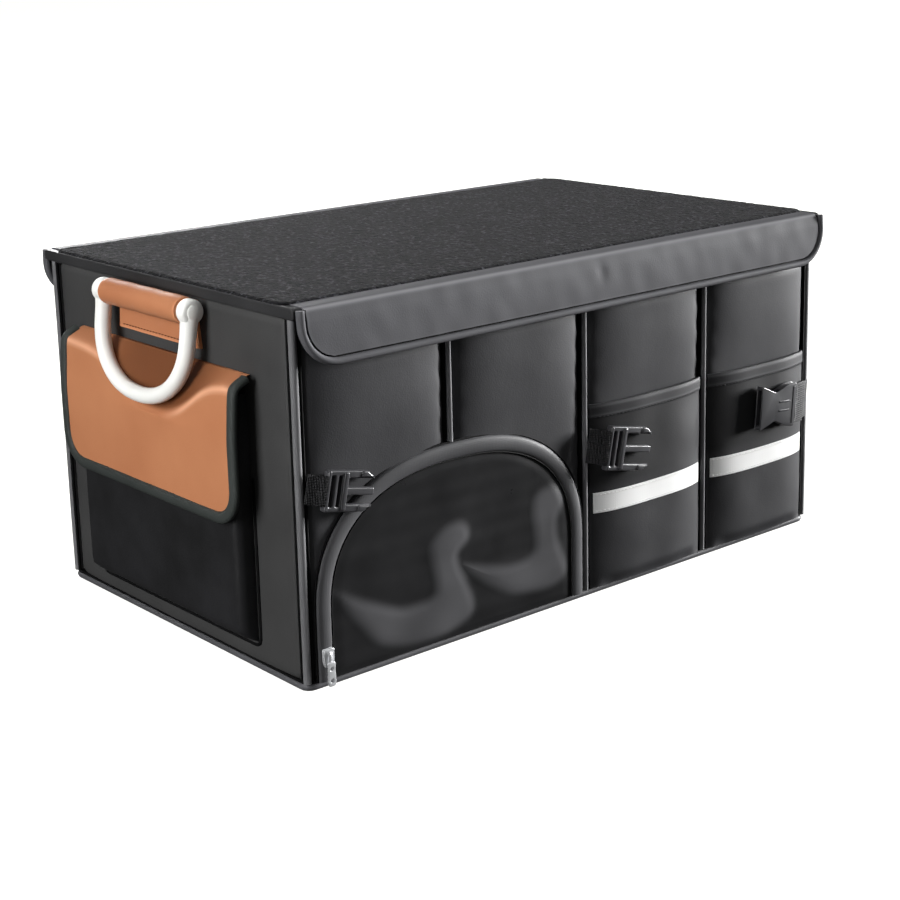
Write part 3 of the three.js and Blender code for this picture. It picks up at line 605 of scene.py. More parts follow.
section = rounded(box_outline(-LID_EDGE, LID_UNDER, LID_EDGE, LID_BOARD_TOP), 3.4, 5)
xs = np.linspace(-LID_HALF, LID_HALF, 60)
line = np.stack([xs, 0 * xs, 0 * xs], axis=-1)
build("lid_leather", sweep_mesh(line, (0, 0, 1), [(-y, z) for y, z in section]), leather,
      ["lid_panel"], "lid")
outline = rounded(box_outline(-LID_EDGE, LID_UNDER, LID_EDGE, LID_BOARD_TOP + 0.4), 3.8, 5)
for end, sign in ENDS:
    verts, faces = plate_mesh(outline, 278.6, 282.0, 1.1)
    placed = np.stack([sign * verts[:, 2], verts[:, 0], verts[:, 1]], axis=-1)
    build(f"lid_edge_{end}", (placed, faces), rim_leather, [f"lid_binding_{end}"], "lid")

v = np.linspace(-1, 1, 150)[:, None]
u = np.linspace(-1, 1, 250)[None, :]
y = CARPET_Y * v + 0 * u
into_corner = np.clip(np.abs(y) - CARPET_Y + CARPET_CORNER, 0, None)
half_row = CARPET_X - CARPET_CORNER + np.sqrt(np.clip(CARPET_CORNER ** 2 - into_corner ** 2, 0, None))
x = half_row * u
rim = np.minimum(half_row - np.abs(x), CARPET_Y - np.abs(y))
pile = 0.25 * ripple(x, y, 9, 21) + 0.2 * ripple(x, y, 5, 22) + 0.15 * ripple(x, y, 60, 23)
top = CARPET_TOP - 1.2 * edge_drop(rim, 2.0) + pile
faces_of_pile = [np.stack(np.broadcast_arrays(x, y, up), axis=-1) for up in (top, CARPET_UNDER)]
build("lid_carpet_pile", slab_mesh(*faces_of_pile), carpet, ["lid_carpet"], "lid")


# Skirts

LEAN_OUT, LEAN_DOWN = math.sin(SKIRT_LEAN), math.cos(SKIRT_LEAN)
CREASE_AT = 8.0
SKIRT_INSET = 7.2


def flap_edge(half, top, foot, radius):
    """The edge of a flap with round lower corners, as points across and up."""
    points = [(-half, top)]
    for start, centre in ((math.pi, -half + radius), (1.5 * math.pi, half - radius)):
        for angle in np.linspace(start, start + math.pi / 2, 12):
            points.append((centre + radius * math.cos(angle), foot + radius + radius * math.sin(angle)))
    return [*points, (half, top)]


def hung(depth, out):
    """A place on a skirt: how far down it, and how far out from its inner face."""
    return (SKIRT_TOP_OUT + depth * LEAN_OUT + out * LEAN_DOWN,
            LID_BOARD_TOP - depth * LEAN_DOWN + out * LEAN_OUT)


def skirt_profile(start, centre, reach, out):
    """A line from the lid's top round its edge and down the skirt, as out and up."""
    points = list(zip((162.0, 170.0), start))
    for angle in np.linspace(90, 10, 15):
        t = math.radians(angle)
        points.append((centre[0] + reach[0] * math.cos(t), centre[1] + reach[1] * math.sin(t)))
    return np.array(points + [hung(depth, out) for depth in np.linspace(9, SKIRT_DROP - SKIRT_INSET, 16)])


def skirt_cover(place, side, seed):
    """The lid's leather, run over its edge and down as a padded skirt, with its rolled edge."""
    outer = skirt_profile((283.9, 284.0), (174.8, 278.5), (5.4, 5.4), 4.5)
    inner = skirt_profile((283.3, 283.3), (174.6, 279.4), (1.8, 3.8), 0.35)
    z = outer[:, 1:]
    foot_up = LID_BOARD_TOP - SKIRT_DROP
    half = half_width(z, SKIRT_HALF - SKIRT_INSET, foot_up + SKIRT_INSET, SKIRT_CORNER - SKIRT_INSET)
    share = np.linspace(-1, 1, 190)[None, :]
    a = half * share
    on_skirt = smoothstep(279, 270, z)
    bulge = 1.1 * (1 - share ** 8) * np.sin(math.pi * np.clip((280 - z) / 40, 0, 1)) * on_skirt
    bulge -= 0.9 * hump(a, CREASE_AT, 5) * smoothstep(256, 272, z) * on_skirt
    near_rim = smoothstep(284, 281, z)
    wrinkle = 0.3 * ripple(a, z, 80, seed) * on_skirt + 0.25 * ripple(a, z, 24, seed + 1) * near_rim
    front = on_side(side, a, outer[:, :1] + bulge + wrinkle, z)
    back = on_side(side, a, inner[:, :1], inner[:, 1:])
    cover = build(f"{place}_cover", slab_mesh(front, back), painted_lighter_skirt_leather, [f"{place}_skirt"],
                  None)

    def edge_roll(inset, out, section):
        edge = resample(flap_edge(SKIRT_HALF - inset, -1.0, -SKIRT_DROP + inset, SKIRT_CORNER - inset), 3.0)
        path = on_side(side, edge[:, 0], *hung(-edge[:, 1], out))
        return sweep_mesh(path, on_side(side, 0.0, LEAN_DOWN, LEAN_OUT), section)

    roll = build(f"{place}_cover_edge", edge_roll(2.9, 2.7, ellipse(5.6, 6.6, 18, 2.3)), painted_lighter_skirt_leather,
                 [f"{place}_skirt_binding"], None)
    # A black line inside the rolled edge, as painted shade in its groove.
    groove = build(f"{place}_cover_seam", edge_roll(6.4, 2.0, ellipse(3.4, 2.6, 10, 3)), dark_seam_and_groove_shade,
                   body=None)
    _, y, z = places_of(cover)
    # A painted highlight: the cover is painted lighter along the fold where the lid's top turns down into the
    # skirt.
    paint(cover, ridge=0.6 * hump(np.hypot(np.abs(y) - 178.2, z - 282.6), 0, 1.7))
    for obj in (cover, roll, groove):
        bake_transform(obj)


skirt_cover("front", FRONT, 31)
skirt_cover("back", BACK, 33)


# Arched window with its zip band

BAND_HALF = 6.6
ARCH_MIDDLE = (ARCH_LEFT + ARCH_RIGHT) / 2


def squared_turn(angle, power):
    """Across and up on a circle of radius 1 that a power above 2 makes squarer; up is never negative."""
    c, s = math.cos(angle), math.sin(angle)
    return math.copysign(abs(c) ** (2 / power), c), abs(s) ** (2 / power)


def arch_edge(inset):
    """The arch's outline, as points across and up, 3 mm apart."""
    half = (ARCH_RIGHT - ARCH_LEFT) / 2 - inset
    rise = ARCH_TOP - ARCH_SPRING - inset
    points = [(ARCH_MIDDLE - half, WALL_FOOT)]
    for angle in np.linspace(math.pi, 0, 72):
        across, up = squared_turn(angle, ARCH_POWER)
        points.append((ARCH_MIDDLE + half * across, ARCH_SPRING + rise * up))
    return resample([*points, (ARCH_MIDDLE + half, WALL_FOOT)], 3.0)


def arch_sweep(inset, section, out):
    edge = arch_edge(inset)
    return sweep_mesh(on_side(FRONT, edge[:, 0], out, edge[:, 1]), (0, -1, 0), section)


half_round = [(BAND_HALF * math.cos(t), 3.4 * math.sin(t) ** 0.8) for t in np.linspace(0, math.pi, 19)]
band_section = [(BAND_HALF, -0.2), *half_round, (-BAND_HALF, -0.2)]
build("zip_band_leather", arch_sweep(ZIP_BAND / 2, band_section, BAND_OUT), band_leather,
      ["zip_band"])
# Black lines along both edges of the zip band: its seams, and painted shade in the grooves beside them.
build("zip_band_seam", merged(arch_sweep(-0.4, ellipse(1.6, 1.8, 8), BAND_OUT + 0.2),
                              arch_sweep(ZIP_BAND - 0.2, ellipse(1.4, 1.8, 8), BAND_OUT + 1.5)),
      dark_seam_and_groove_shade)

# Outlines of the film's two soft folds, across and up
FOLDS = [
    [(-255, 73), (-238, 47), (-216, 20), (-190, 12), (-156, 9), (-121, 18), (-121, 32), (-132, 55),
     (-141, 73), (-124, 79), (-124, 92), (-132, 99), (-151, 97), (-168, 85), (-162, 64), (-159, 43),
     (-192, 42), (-222, 56)],
    [(-132, 62), (-114, 43), (-85, 25), (-46, 19), (-31, 22), (-20, 27), (-26, 43), (-35, 64), (-33, 82),
     (-19, 90), (-21, 100), (-33, 107), (-56, 104), (-63, 93), (-58, 70), (-58, 51), (-85, 49)],
]


def depth_inside(x, z, outline):
    """How far each place lies inside a closed outline, negative outside it."""
    ring = softened(resample([*outline, outline[0]], 3.0), 12)
    start, end = ring[:-1], ring[1:]
    step = end - start
    px, pz = x[..., None] - start[:, 0], z[..., None] - start[:, 1]
    part = np.clip((px * step[:, 0] + pz * step[:, 1]) / np.maximum((step ** 2).sum(1), 1e-9), 0, 1)
    gap = np.min(np.hypot(px - part * step[:, 0], pz - part * step[:, 1]), axis=-1)
    crosses = (start[:, 1] > z[..., None]) != (end[:, 1] > z[..., None])
    cut = start[:, 0] + (z[..., None] - start[:, 1]) * step[:, 0] / np.where(step[:, 1] == 0, 1e-9, step[:, 1])
    inside = np.sum(crosses & (x[..., None] < cut), axis=-1) % 2 == 1
    return np.where(inside, gap, -gap)


def fold_shape(x, z):
    return np.max([depth_inside(x, z, outline) for outline in FOLDS], axis=0)


edge = arch_edge(ZIP_BAND - 1.5)
loop = np.concatenate([edge, np.linspace(edge[-1], edge[0], 60)[1:-1]])
centre = np.array([ARCH_MIDDLE, 62.0])
shares = np.linspace(1, 0.004, 90)[:, None, None]
flat = centre + (loop[None] - centre) * shares
x, z = flat[..., 0], flat[..., 1]
border = smoothstep(0, 0.10, 1 - shares[..., 0])
fold = smoothstep(-5, 9, fold_shape(x, z))
lift = border * (1.0 * fold + 0.5 * ripple(x, z, 80, 41) + 0.8) + 1.0
rings = on_side(FRONT, x, BAND_OUT + lift, z)
back_ring = on_side(FRONT, x[:1], BAND_OUT, z[:1])
verts = np.concatenate([rings.reshape(-1, 3), back_ring.reshape(-1, 3)])
rows, cols = x.shape
faces = grid_faces(rows, cols, wrap_cols=True)
faces.append(tuple((rows - 1) * cols + c for c in range(cols)))
faces += [(c, (c + 1) % cols, rows * cols + (c + 1) % cols, rows * cols + c) for c in range(cols)]
faces.append(tuple(rows * cols + c for c in range(cols)))
window = build("window_film_sheet", (verts, faces), film, ["window_film"])
x, _, z = places_of(window)
streaks = 0.06 * ripple(0.25 * x, 1.4 * z, 26, 42)
folds = smoothstep(-4, 6, fold_shape(x, z))
# The film is painted paler over its two folds, with faint streaks and a slight paleness all over.
paint(window, haze=folds * (0.8 + 0.25 * ripple(x, z, 46, 43)) + 0.06 + streaks)


# Zip slider and puller

SLIDER_X = ARCH_LEFT + ZIP_BAND / 2


def on_slider(points):
    """Points with their places across counted from the slider's middle."""
    return [(SLIDER_X + x, *rest) for x, *rest in points]


def upright_plate(outline, near, far, bevel, holes=()):
    """A plate drawn as across and up that faces the front, between two distances out."""
    verts, faces = plate_mesh(outline, near, far, bevel, holes)
    return on_side(FRONT, verts[:, 0], verts[:, 2], verts[:, 1]), faces


def ring_points(up, radius):
    return [(SLIDER_X + radius * math.cos(t), up + radius * math.sin(t)) for t in full_turn(14)]


slider_outline = rounded(on_slider([(-3.2, 18), (3.2, 18), (4.5, 23), (4.5, 32), (-4.5, 32), (-4.5, 23)]), 1.6)
bridge_path = on_slider([(0, 175.9, 20.5), (0, 177.3, 21.5), (0, 177.5, 25), (0, 177.2, 28.5),
                         (0, 175.9, 29.6)])
bridge_path = softened(resample(on_side(FRONT, *np.array(bridge_path).T), 0.6), 3)
middle_plate = rounded(box_outline(SLIDER_X - 1.3, 19, SLIDER_X + 1.3, 31), 0.8)
build("slider_metal", merged(upright_plate(slider_outline, 173.1, 174.5, 0.5),
                             upright_plate(slider_outline, 174.8, 176.2, 0.5),
                             upright_plate(middle_plate, 174.0, 175.4, 0.3),
                             sweep_mesh(bridge_path, (1, 0, 0), ellipse(1.3, 3.0, 10, 3))),
      silver, ["zip_slider"], "slider")
puller_outline = rounded(on_slider([(-2.6, 4), (2.6, 4), (3.7, 7), (3.1, 15), (3.5, 22.6), (-3.5, 22.6),
                                    (-3.1, 15), (-3.7, 7)]), 1.8)
puller_holes = [ring_points(17.6, 1.5), ring_points(8.4, 1.5)]
build("puller_metal", upright_plate(puller_outline, 177.5, 178.9, 0.5, puller_holes), silver,
      ["zip_puller"], "puller")


# Open pockets with their hems and strips

SKIN = 1.6


def pocket_out(across, span, up):
    middle, half = (span[0] + span[1]) / 2, (span[1] - span[0]) / 2
    share = np.clip((across - middle) / half, -1, 1)
    wall = HALF_WIDTH - 2.5 + 2.5 * (1 - share ** 4)
    slack = POCKET_SLACK * (1 - np.abs(share) ** 3)
    sag = 1 + 0.12 * np.sin(math.pi * (up - WALL_FOOT) / (POCKET_TOP - WALL_FOOT))
    return wall + 0.4 + slack * sag


def front_pocket(number, span, seed):
    def uneven(across, up):
        """The cloth's wrinkles, half as deep under the strip."""
        still = smoothstep(62, 66, np.abs(up - 78.5) + 55) * 0.5 + 0.5
        return 0.4 * ripple(across, up, 46, seed) * still

    across = np.linspace(span[0] + 1.5, span[1] - 1.5, 64)
    up = np.concatenate([np.linspace(WALL_FOOT, 148, 56), np.linspace(149, POCKET_TOP, 14)])
    a, z = np.meshgrid(across, up)
    wrinkle = uneven(a, z)
    hem = 0.9 * smoothstep(149.5, 151, z) * (1 - 0.4 * smoothstep(158, 161, z))
    near = pocket_out(a, span, z)
    tuck = -3.0 * smoothstep(16, 6.3, z) * smoothstep(170.6, 174.5, near)
    sheet = side_slab(FRONT, a, near + SKIN + wrinkle + hem + tuck, near + wrinkle * 0.6 + tuck, z)
    foot = side_slab(FRONT, a[:4], near[:4] + 1.2 + tuck[:4], HALF_WIDTH - 1.5, z[:4])
    pocket = build(f"front_pocket_cloth_{number}", merged(sheet, foot), pocket_front,
                   [f"front_pocket_{number}"])
    x, _, z = places_of(pocket)
    beside = smoothstep(0.95, 0.55, (x - span[0]) / (span[1] - span[0]))
    shade = smoothstep(STRIP_HIGH - 2, STRIP_HIGH + 10, z) * smoothstep(152, 148, z) * beside
    # The two hem lines are painted highlights along the hem's folds.
    paint(pocket, shade=0.75 * shade, hem=0.6 * (hump(z, 159.5, 1.2) + hump(z, 151.5, 1.2)))

    a, z = np.meshgrid(np.linspace(span[0] + 4, span[1] - 4, 60), np.linspace(STRIP_LOW, STRIP_HIGH, 10))
    near = pocket_out(a, span, z) + SKIN + uneven(a, z)
    build(f"reflective_tape_{number}", side_slab(FRONT, a, near + 0.75, near + 0.1, z), reflective,
          [f"reflective_strip_{number}"])
    rows = []
    across = np.linspace(span[0] + 5, span[1] - 5, 50)
    for level, lift in ((150.2, 2.1), (STRIP_LOW + 1.6, 2.5), (STRIP_HIGH - 1.6, 2.5)):
        up = np.full(across.shape, level)
        out = pocket_out(across, span, up) + lift + 0.4 * ripple(across, up, 46, seed) * 0.5
        rows.append(capsule_row(on_side(FRONT, across, out, up), (0, -1, 0), 2.6, 1.2, 0.3))
    build(f"pocket_stitches_{number}", rows[0], thread)
    build(f"tape_stitches_{number}", merged(*rows[1:]), reflective)


front_pocket(1, (3.6, 136.4), 51)
front_pocket(2, (143.6, 271.0), 52)


# Buckles and their webbing

OVER_BAND = 173.1
OVER_STRIP = 179.2
PLUG_BODY = 17.0
PLUG_DROOP = math.radians(12)
SOCKET_DROOP = math.radians(5)


def buckle_mesh(start, out, plates):
    """Plates merged, each given as its outline, corner radius, distances out, edge rounding and any holes."""
    meshes = []
    for outline, corner, near, far, bevel, *holes in plates:
        rings = [[(x + start, y) for x, y in ring] for ring in (rounded(outline, corner), *holes)]
        verts, faces = plate_mesh(rings[0], out + near, out + far, bevel, rings[1:])
        meshes.append((np.stack([verts[:, 0], -verts[:, 2], verts[:, 1]], axis=-1), faces))
    return merged(*meshes)


def plug_mesh(tall, long, slot, start, out):
    half, body = tall / 2, PLUG_BODY
    outline = [(0, -half), (long - 8, -half), (long, -half + 5.5), (body, -half + 5.5), (body, -2.75),
               (long, -2.75), (long, 2.75), (body, 2.75), (body, half - 5.5), (long, half - 5.5),
               (long - 8, half), (0, half)]
    slots = [rounded(box_outline(x, -slot / 2, x + 3.4, slot / 2), 1.2) for x in (3.2, 9.8)]
    plates = [(outline, 1.6, 1, 6, 1.0, *slots),
              (box_outline(body - 2.6, -half + 1, body + 1.6, half - 1), 1.4, 0.1, 7, 1.2),
              (box_outline(0.1, -half + 0.2, 2.8, half - 0.2), 1.2, 0.3, 6.8, 1.1)]
    for sign in (-1, 1):
        near, far = sign * (half - 4.9), sign * (half - 0.2)
        head = [(long - 13, near), (long - 1, near), (long - 8, far), (long - 13, far)]
        plates.append((head, 1.5, 0.2, 6.9, 1.1))
    return buckle_mesh(start, out, plates)


def socket_mesh(tall, long, start, out):
    half = tall / 2
    notch, notch_end = long * 0.42, long * 0.75
    outline = [(0, -half), (notch, -half + 7), (notch_end, -half + 1), (long, -half), (long, half),
               (notch_end, half - 1), (notch, half - 7), (0, half)]
    window = rounded(box_outline(24, -half + 9, 29, half - 9), 2.0)
    solid = [(24.5, -half + 5), (notch_end, -half + 2), (long - 0.8, -half + 1), (long - 0.8, half - 1),
             (notch_end, half - 2), (24.5, half - 5)]
    plates = [(outline, 2.2, 0.1, 1.6, 0.6), (outline, 2.2, 5.4, 6.9, 0.7),
              (solid, 1.2, 1.0, 6.0, 0.4, window)]
    for sign in (-1, 1):
        side = [(0.4, sign * (half - 3.4)), (0.4, sign * (half - 0.4)), (notch, sign * (half - 7.2)),
                (notch, sign * (half - 9))]
        rib = box_outline(notch + 4, sign * 4 - 1, long - 9, sign * 4 + 1)
        plates += [(side, 0.8, 1.0, 6.0, 0.4), (rib, 0.8, 6.2, 7.3, 0.5)]
    plates.append((box_outline(long - 5, -half + 3, long - 2.5, half - 3), 1, 5.9, 7.3, 0.5))
    return buckle_mesh(start, out, plates)


def strap_mesh(width, end, seam_out, out, loop_to):
    """Webbing from its seam to a buckle, folded round the buckle's bar and sewn back on itself."""
    sign = math.copysign(1, end)
    path = [(0, seam_out + 0.9), (end * 0.35, (seam_out + out) / 2 + 0.8), (end * 0.7, out + 0.9),
            (end, out + 0.9), (end + sign * 1.5, out + 2.0), (end + sign * loop_to, out + 4.4),
            (end + sign * loop_to, out + 6.4), (end - sign * 1.0, out + 5.2), (end * 0.55, out + 3.2)]
    line = softened(resample([(x, -o, 0) for x, o in path], 0.9), 4)
    return sweep_mesh(line, (0, 0, 1), ellipse(1.5, width, 16, 6))


def add_buckle(number, kind, node, plastic, strap, seam_x, up, droop):
    """A buckle and its webbing, drawn as right of the seam, out, and up from it, drooping about the seam."""
    def drooped(mesh):
        verts, faces = mesh
        x = seam_x + verts[:, 0] * math.cos(droop) + verts[:, 2] * math.sin(droop)
        z = up - verts[:, 0] * math.sin(droop) + verts[:, 2] * math.cos(droop)
        return np.stack([x, verts[:, 1], z], axis=-1), faces

    build(f"{kind}_plastic_{number}", drooped(plastic), buckle_plastic, [node], crease=30)
    build(f"buckle_strap_{number}", drooped(strap), webbing, [f"webbing_{number}"])


add_buckle(1, "buckle_plug", "buckle_plug_1", plug_mesh(30, 43, 22.6, 12.3, OVER_BAND),
           strap_mesh(22, 12, 170.6, OVER_BAND, 2.2), -274, 153, PLUG_DROOP)
add_buckle(2, "buckle_plug", "buckle_plug_2", plug_mesh(36, 49, 28.6, 12.3, OVER_STRIP),
           strap_mesh(28, 12, 172.3, OVER_STRIP, 2.2), 0, 129, PLUG_DROOP)
add_buckle(3, "buckle_socket", "buckle_socket", socket_mesh(39, 46, -77.3, OVER_STRIP),
           strap_mesh(34, -31, 170.6, OVER_STRIP, 1.0), 274, 117, SOCKET_DROOP)


# Carrying handles

TAB_HALF = 54.3
LEFT_TILT = math.asin(10.4 / HANDLE_DROP)


def handle_points():
    rise = HANDLE_DROP - HANDLE_STRAIGHT
    points = [(-HANDLE_HALF, 0), (-HANDLE_HALF, -HANDLE_STRAIGHT / 2)]
    for angle in np.linspace(math.pi, 2 * math.pi, 40):
        across, down = squared_turn(angle, HANDLE_POWER)
        points.append((HANDLE_HALF * across, -HANDLE_STRAIGHT - rise * down))
    points += [(HANDLE_HALF, -HANDLE_STRAIGHT / 2), (HANDLE_HALF, 0)]
    return softened(resample(points, 2.0), 6)


def turned_mesh(side, profile, closed=False):
    """A round shape about a handle's axis, from places along it and their radii."""
    turns = full_turn(40)
    c, s = np.cos(turns), np.sin(turns)
    rings = np.array([on_side(side, a, HALF_LENGTH + PIVOT_OUT + r * c, PIVOT_UP + r * s) for a, r in profile])
    return rings.reshape(-1, 3), grid_faces(len(profile), len(turns), wrap_rows=closed, wrap_cols=True)


def add_handle(end, side, tilt):
    line = handle_points()
    out = HALF_LENGTH + PIVOT_OUT - line[:, 1] * math.sin(tilt)
    path = on_side(side, line[:, 0], out, PIVOT_UP + line[:, 1] * math.cos(tilt))
    from_end = np.minimum(np.arange(len(line)), np.arange(len(line))[::-1]) * 2.0
    tube = sweep_mesh(path, on_side(side, 0.0, math.cos(tilt), math.sin(tilt)),
                      ellipse(HANDLE_TUBE, HANDLE_TUBE, 24), scale=1 + 0.16 * hump(from_end, 0, 9))
    eye = [(-5.5, 4.3), (-5.5, 7.4), (-4.6, 8.8), (-3, 9.5), (3, 9.5), (4.6, 8.8), (5.5, 7.4), (5.5, 4.3)]
    eyes = [turned_mesh(side, [(place + a, r) for a, r in eye], closed=True)
            for place in (-HANDLE_HALF, HANDLE_HALF)]
    build(f"handle_plastic_{end}", merged(tube, *eyes), white_plastic, [f"handle_{end}"],
          f"{end}_handle", crease=60)

    # The rod, with a flat round head over each eye
    head = HANDLE_HALF + 5.5
    rod = [(0, 0), (0, 4.0), (head, 4.0), (head + 0.1, 5.6), (head + 0.9, 5.6), (head + 1.7, 4.2),
           (head + 2.0, 0)]
    rod = [(-a, r) for a, r in rod[:1:-1]] + rod[1:]
    build(f"handle_rod_white_{end}", turned_mesh(side, rod), white_plastic,
          [f"handle_rod_{end}"])

    # The tab: a leather roll round the rod, and a patch on the wall that flares to its lower corners
    along = np.linspace(-TAB_HALF, TAB_HALF, 60)
    edge_round = 1 - 0.05 * np.exp(-((TAB_HALF - np.abs(along)) / 1.5))
    roll = [(-TAB_HALF, 4.5), *zip(along, (10.3 + 0.12 * np.sin(along / 5)) * edge_round), (TAB_HALF, 4.5)]
    spread = np.linspace(0, 1, 12)[:, None]
    a = (TAB_HALF + 0.3 + 5.0 * np.clip(spread - 0.35, 0, 1) ** 1.2) * np.linspace(-1, 1, 50)[None, :]
    z = 273 - 36 * spread
    patch = side_slab(side, a, 280.4 + 2.4 + 0.25 * ripple(a, z, 40, 61), 280.3, z)
    build(f"handle_tab_leather_{end}", merged(turned_mesh(side, roll, closed=True), patch), tan,
          [f"handle_tab_{end}"], crease=50)
    row = np.linspace(-TAB_HALF + 3, TAB_HALF - 3, 40)
    outwards = on_side(side, 0.0, 1.0, 0.0)
    stitches = [capsule_row(on_side(side, row, 283.2, level), outwards) for level in (240.0, 254.5)]
    build(f"handle_tab_stitches_{end}", merged(*stitches), tan_thread)


add_handle("left", LEFT, LEFT_TILT)
add_handle("right", RIGHT, 0.0)


# Side pocket

PLAN_CORNER = 7.0
POCKET_SKIN = 2.0


def side_pocket():
    deep, half, skin, corner = SIDE_POCKET_DEEP, SIDE_POCKET_HALF, POCKET_SKIN, PLAN_CORNER
    bends = np.linspace(0, math.pi / 2, 8)
    plan = [(-half, 0.6)]
    plan += [(-half + corner - corner * math.cos(t), deep - corner + corner * math.sin(t)) for t in bends]
    plan += [(a, deep) for a in np.linspace(-half + corner, half - corner, 60)[1:-1]]
    plan += [(half - corner + corner * math.sin(t), deep - corner + corner * math.cos(t)) for t in bends]
    plan = np.array([*plan, (half, 0.6)])
    foot_rows = SIDE_POCKET_FOOT + np.array([0, 1, 2.5, 5, 9, 14, 20])
    up = np.concatenate([foot_rows, np.linspace(52, POCKET_MOUTH, 24)])
    tuck = 1 - 0.8 * np.clip(1 - (up - SIDE_POCKET_FOOT) / 12, 0, 1) ** 2
    a = np.broadcast_to(plan[None, :, 0], (len(up), len(plan)))
    z = np.broadcast_to(up[:, None], a.shape)
    sag = 2.2 * np.sin(math.pi * np.clip((z - 30) / 110, 0, 1)) * np.cos(a / half * math.pi / 2) ** 2
    slack = -1.2 + 1.3 * ripple(a, z, 55, 71) * np.clip((half - np.abs(a)) / 20, 0, 1)
    out = plan[None, :, 1] * tuck[:, None] - np.where(plan[None, :, 1] > 10, 2.0 - slack - sag, 0)
    front = on_side(LEFT, a, HALF_LENGTH + np.clip(out, 0.6, 18.2), z)
    back = on_side(LEFT, a * (half - skin) / half, HALF_LENGTH + np.clip(out - skin, 0.4, None), z)
    meshes = [slab_mesh(front, back)]

    # The gussets, which rise behind the flap
    levels = np.linspace(POCKET_MOUTH - 0.5, 213, 22)
    reach = np.interp(levels, [POCKET_MOUTH, 180, 213], [deep - 0.6, deep - 0.6, 11])
    share = np.linspace(0, 1, 9)
    out = 0.5 + (reach[:, None] - 0.5) * share[None, :]
    z = np.broadcast_to(levels[:, None], out.shape)
    bow = 1.2 * np.sin(math.pi * share)[None, :] * np.sin(math.pi * (z - 135) / 78)
    for sign in (-1, 1):
        meshes.append(slab_mesh(*(on_side(LEFT, sign * across, HALF_LENGTH + out, z)
                                  for across in (half - bow, half - bow - skin))))
    pocket = build("side_pocket_cloth", merged(*meshes), pocket_cloth, ["side_pocket"])
    side, foot = half + 3, SIDE_POCKET_FOOT - 3
    seam = resample(rounded_open([(-side, 150), (-side, foot), (side, foot), (side, 150)], 8), 4)
    path = on_side(LEFT, seam[:, 0], HALF_LENGTH + 0.5, seam[:, 1])
    build("side_pocket_seam", sweep_mesh(path, (-1, 0, 0), ellipse(2.6, 1.6, 10)), dark_seam_and_groove_shade)


side_pocket()


# Flap over the side pocket

SCOOP_AT = 8.0
SCOOP_WIDE = 54.0
SCOOP_AHEAD = 66.0
SCOOP_DEEP = 35.5
CREASE_HIGH = 221.0
FACE_HALF = FLAP_HALF - 7
EDGE_IN = 4.5
FLAP_OUTS = (3.3, 18.6, 21.4, 21.3)


def crease_up(across):
    """Height of the flap's bend: it dips into the scoop below the handle, steeper on the front side."""
    behind = ((across - SCOOP_AT) / SCOOP_WIDE) ** 2
    ahead = (np.abs(across - SCOOP_AT) / SCOOP_AHEAD) ** 3
    return CREASE_HIGH - SCOOP_DEEP * np.exp(-np.where(across < SCOOP_AT, behind, ahead))


def flap_surface(a, t):
    """Out and up of the flap's outer face: t runs from 0 at its seam to 1 at its bend and 2 at its foot."""
    place = np.where(t < 1, np.where(t < 0.6, t / 0.6, 1 + (t - 0.6) / 0.4), 2 + (t - 1))
    low = np.clip(place.astype(int), 0, 2)
    part = place - low
    ups = (FLAP_SEAM, crease_up(a), FLAP_BEND, FLAP_FOOT + 4)
    return [np.choose(low, knots) * (1 - part) + np.choose(low + 1, knots) * part
            for knots in (FLAP_OUTS, ups)]


t = np.concatenate([np.linspace(0, 1, 34), np.linspace(1, 2, 40)[1:]])
share = np.linspace(-1, 1, 110)
a, t = np.meshgrid(share * FACE_HALF, t)
out, up = (softened(grid, 5) for grid in flap_surface(a, t))
half = half_width(up, FACE_HALF, FLAP_FOOT + 4, FLAP_CORNER - 5)
a = share[None, :] * np.where(up < FLAP_FOOT + 30, half, FACE_HALF)
out = out + 0.3 * ripple(a, up, 60, 81) * smoothstep(222, 205, up)
flap = build("flap_leather", side_slab(LEFT, a, HALF_LENGTH + out, HALF_LENGTH + out - 2.6, up), flap_tan,
             ["flap_shoulder", "flap_face"], None)
# Painted shade: the flap is painted dark brown in the scoop below the handle; a painted highlight runs lighter
# along the crease's crest.
_, y, z = places_of(flap)
across, above = -y, z - crease_up(-y)
scoop_shade_share = smoothstep(-1, 5, above) * np.exp(-((across - SCOOP_AT - 6) / 80) ** 6)
crest_highlight_share = hump(above, -1.5, 2.6) * smoothstep(14, 50, np.abs(across - SCOOP_AT))
paint(flap, scoop=0.9 * scoop_shade_share, crest=0.7 * crest_highlight_share)


def flap_side(sign):
    a = np.full(60, sign * (FLAP_HALF - EDGE_IN))
    sides = softened(np.stack(flap_surface(a, np.linspace(0.15, 1.62, 60)), -1), 5)
    return np.stack([a, *sides.T], axis=-1)


left_side, right_side = flap_side(-1), flap_side(1)
foot_edge = np.array(flap_edge(FLAP_HALF - EDGE_IN, left_side[-1][2] - 1, FLAP_FOOT + EDGE_IN,
                               FLAP_CORNER - EDGE_IN))
foot_line = np.stack([foot_edge[:, 0], np.full(len(foot_edge), FLAP_OUTS[-1]), foot_edge[:, 1]], axis=-1)
edge_line = softened(resample(np.concatenate([left_side, foot_line, right_side[::-1]]), 2.5), 2)
path = on_side(LEFT, edge_line[:, 0], HALF_LENGTH + edge_line[:, 1] - 0.9, edge_line[:, 2])
tilt = np.interp(edge_line[:, 2], [FLAP_BEND - 10, FLAP_BEND + 25], [0, 0.35])
normals = on_side(LEFT, 0 * tilt, np.cos(tilt), np.sin(tilt))
flap_roll = build("flap_edge_binding", sweep_mesh(path, normals, ellipse(9.4, 6.2, 20, 2.3)), binding,
                  ["flap_binding"], None)
for obj in (flap, flap_roll):
    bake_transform(obj)


# Floor, dividers and fastening patches

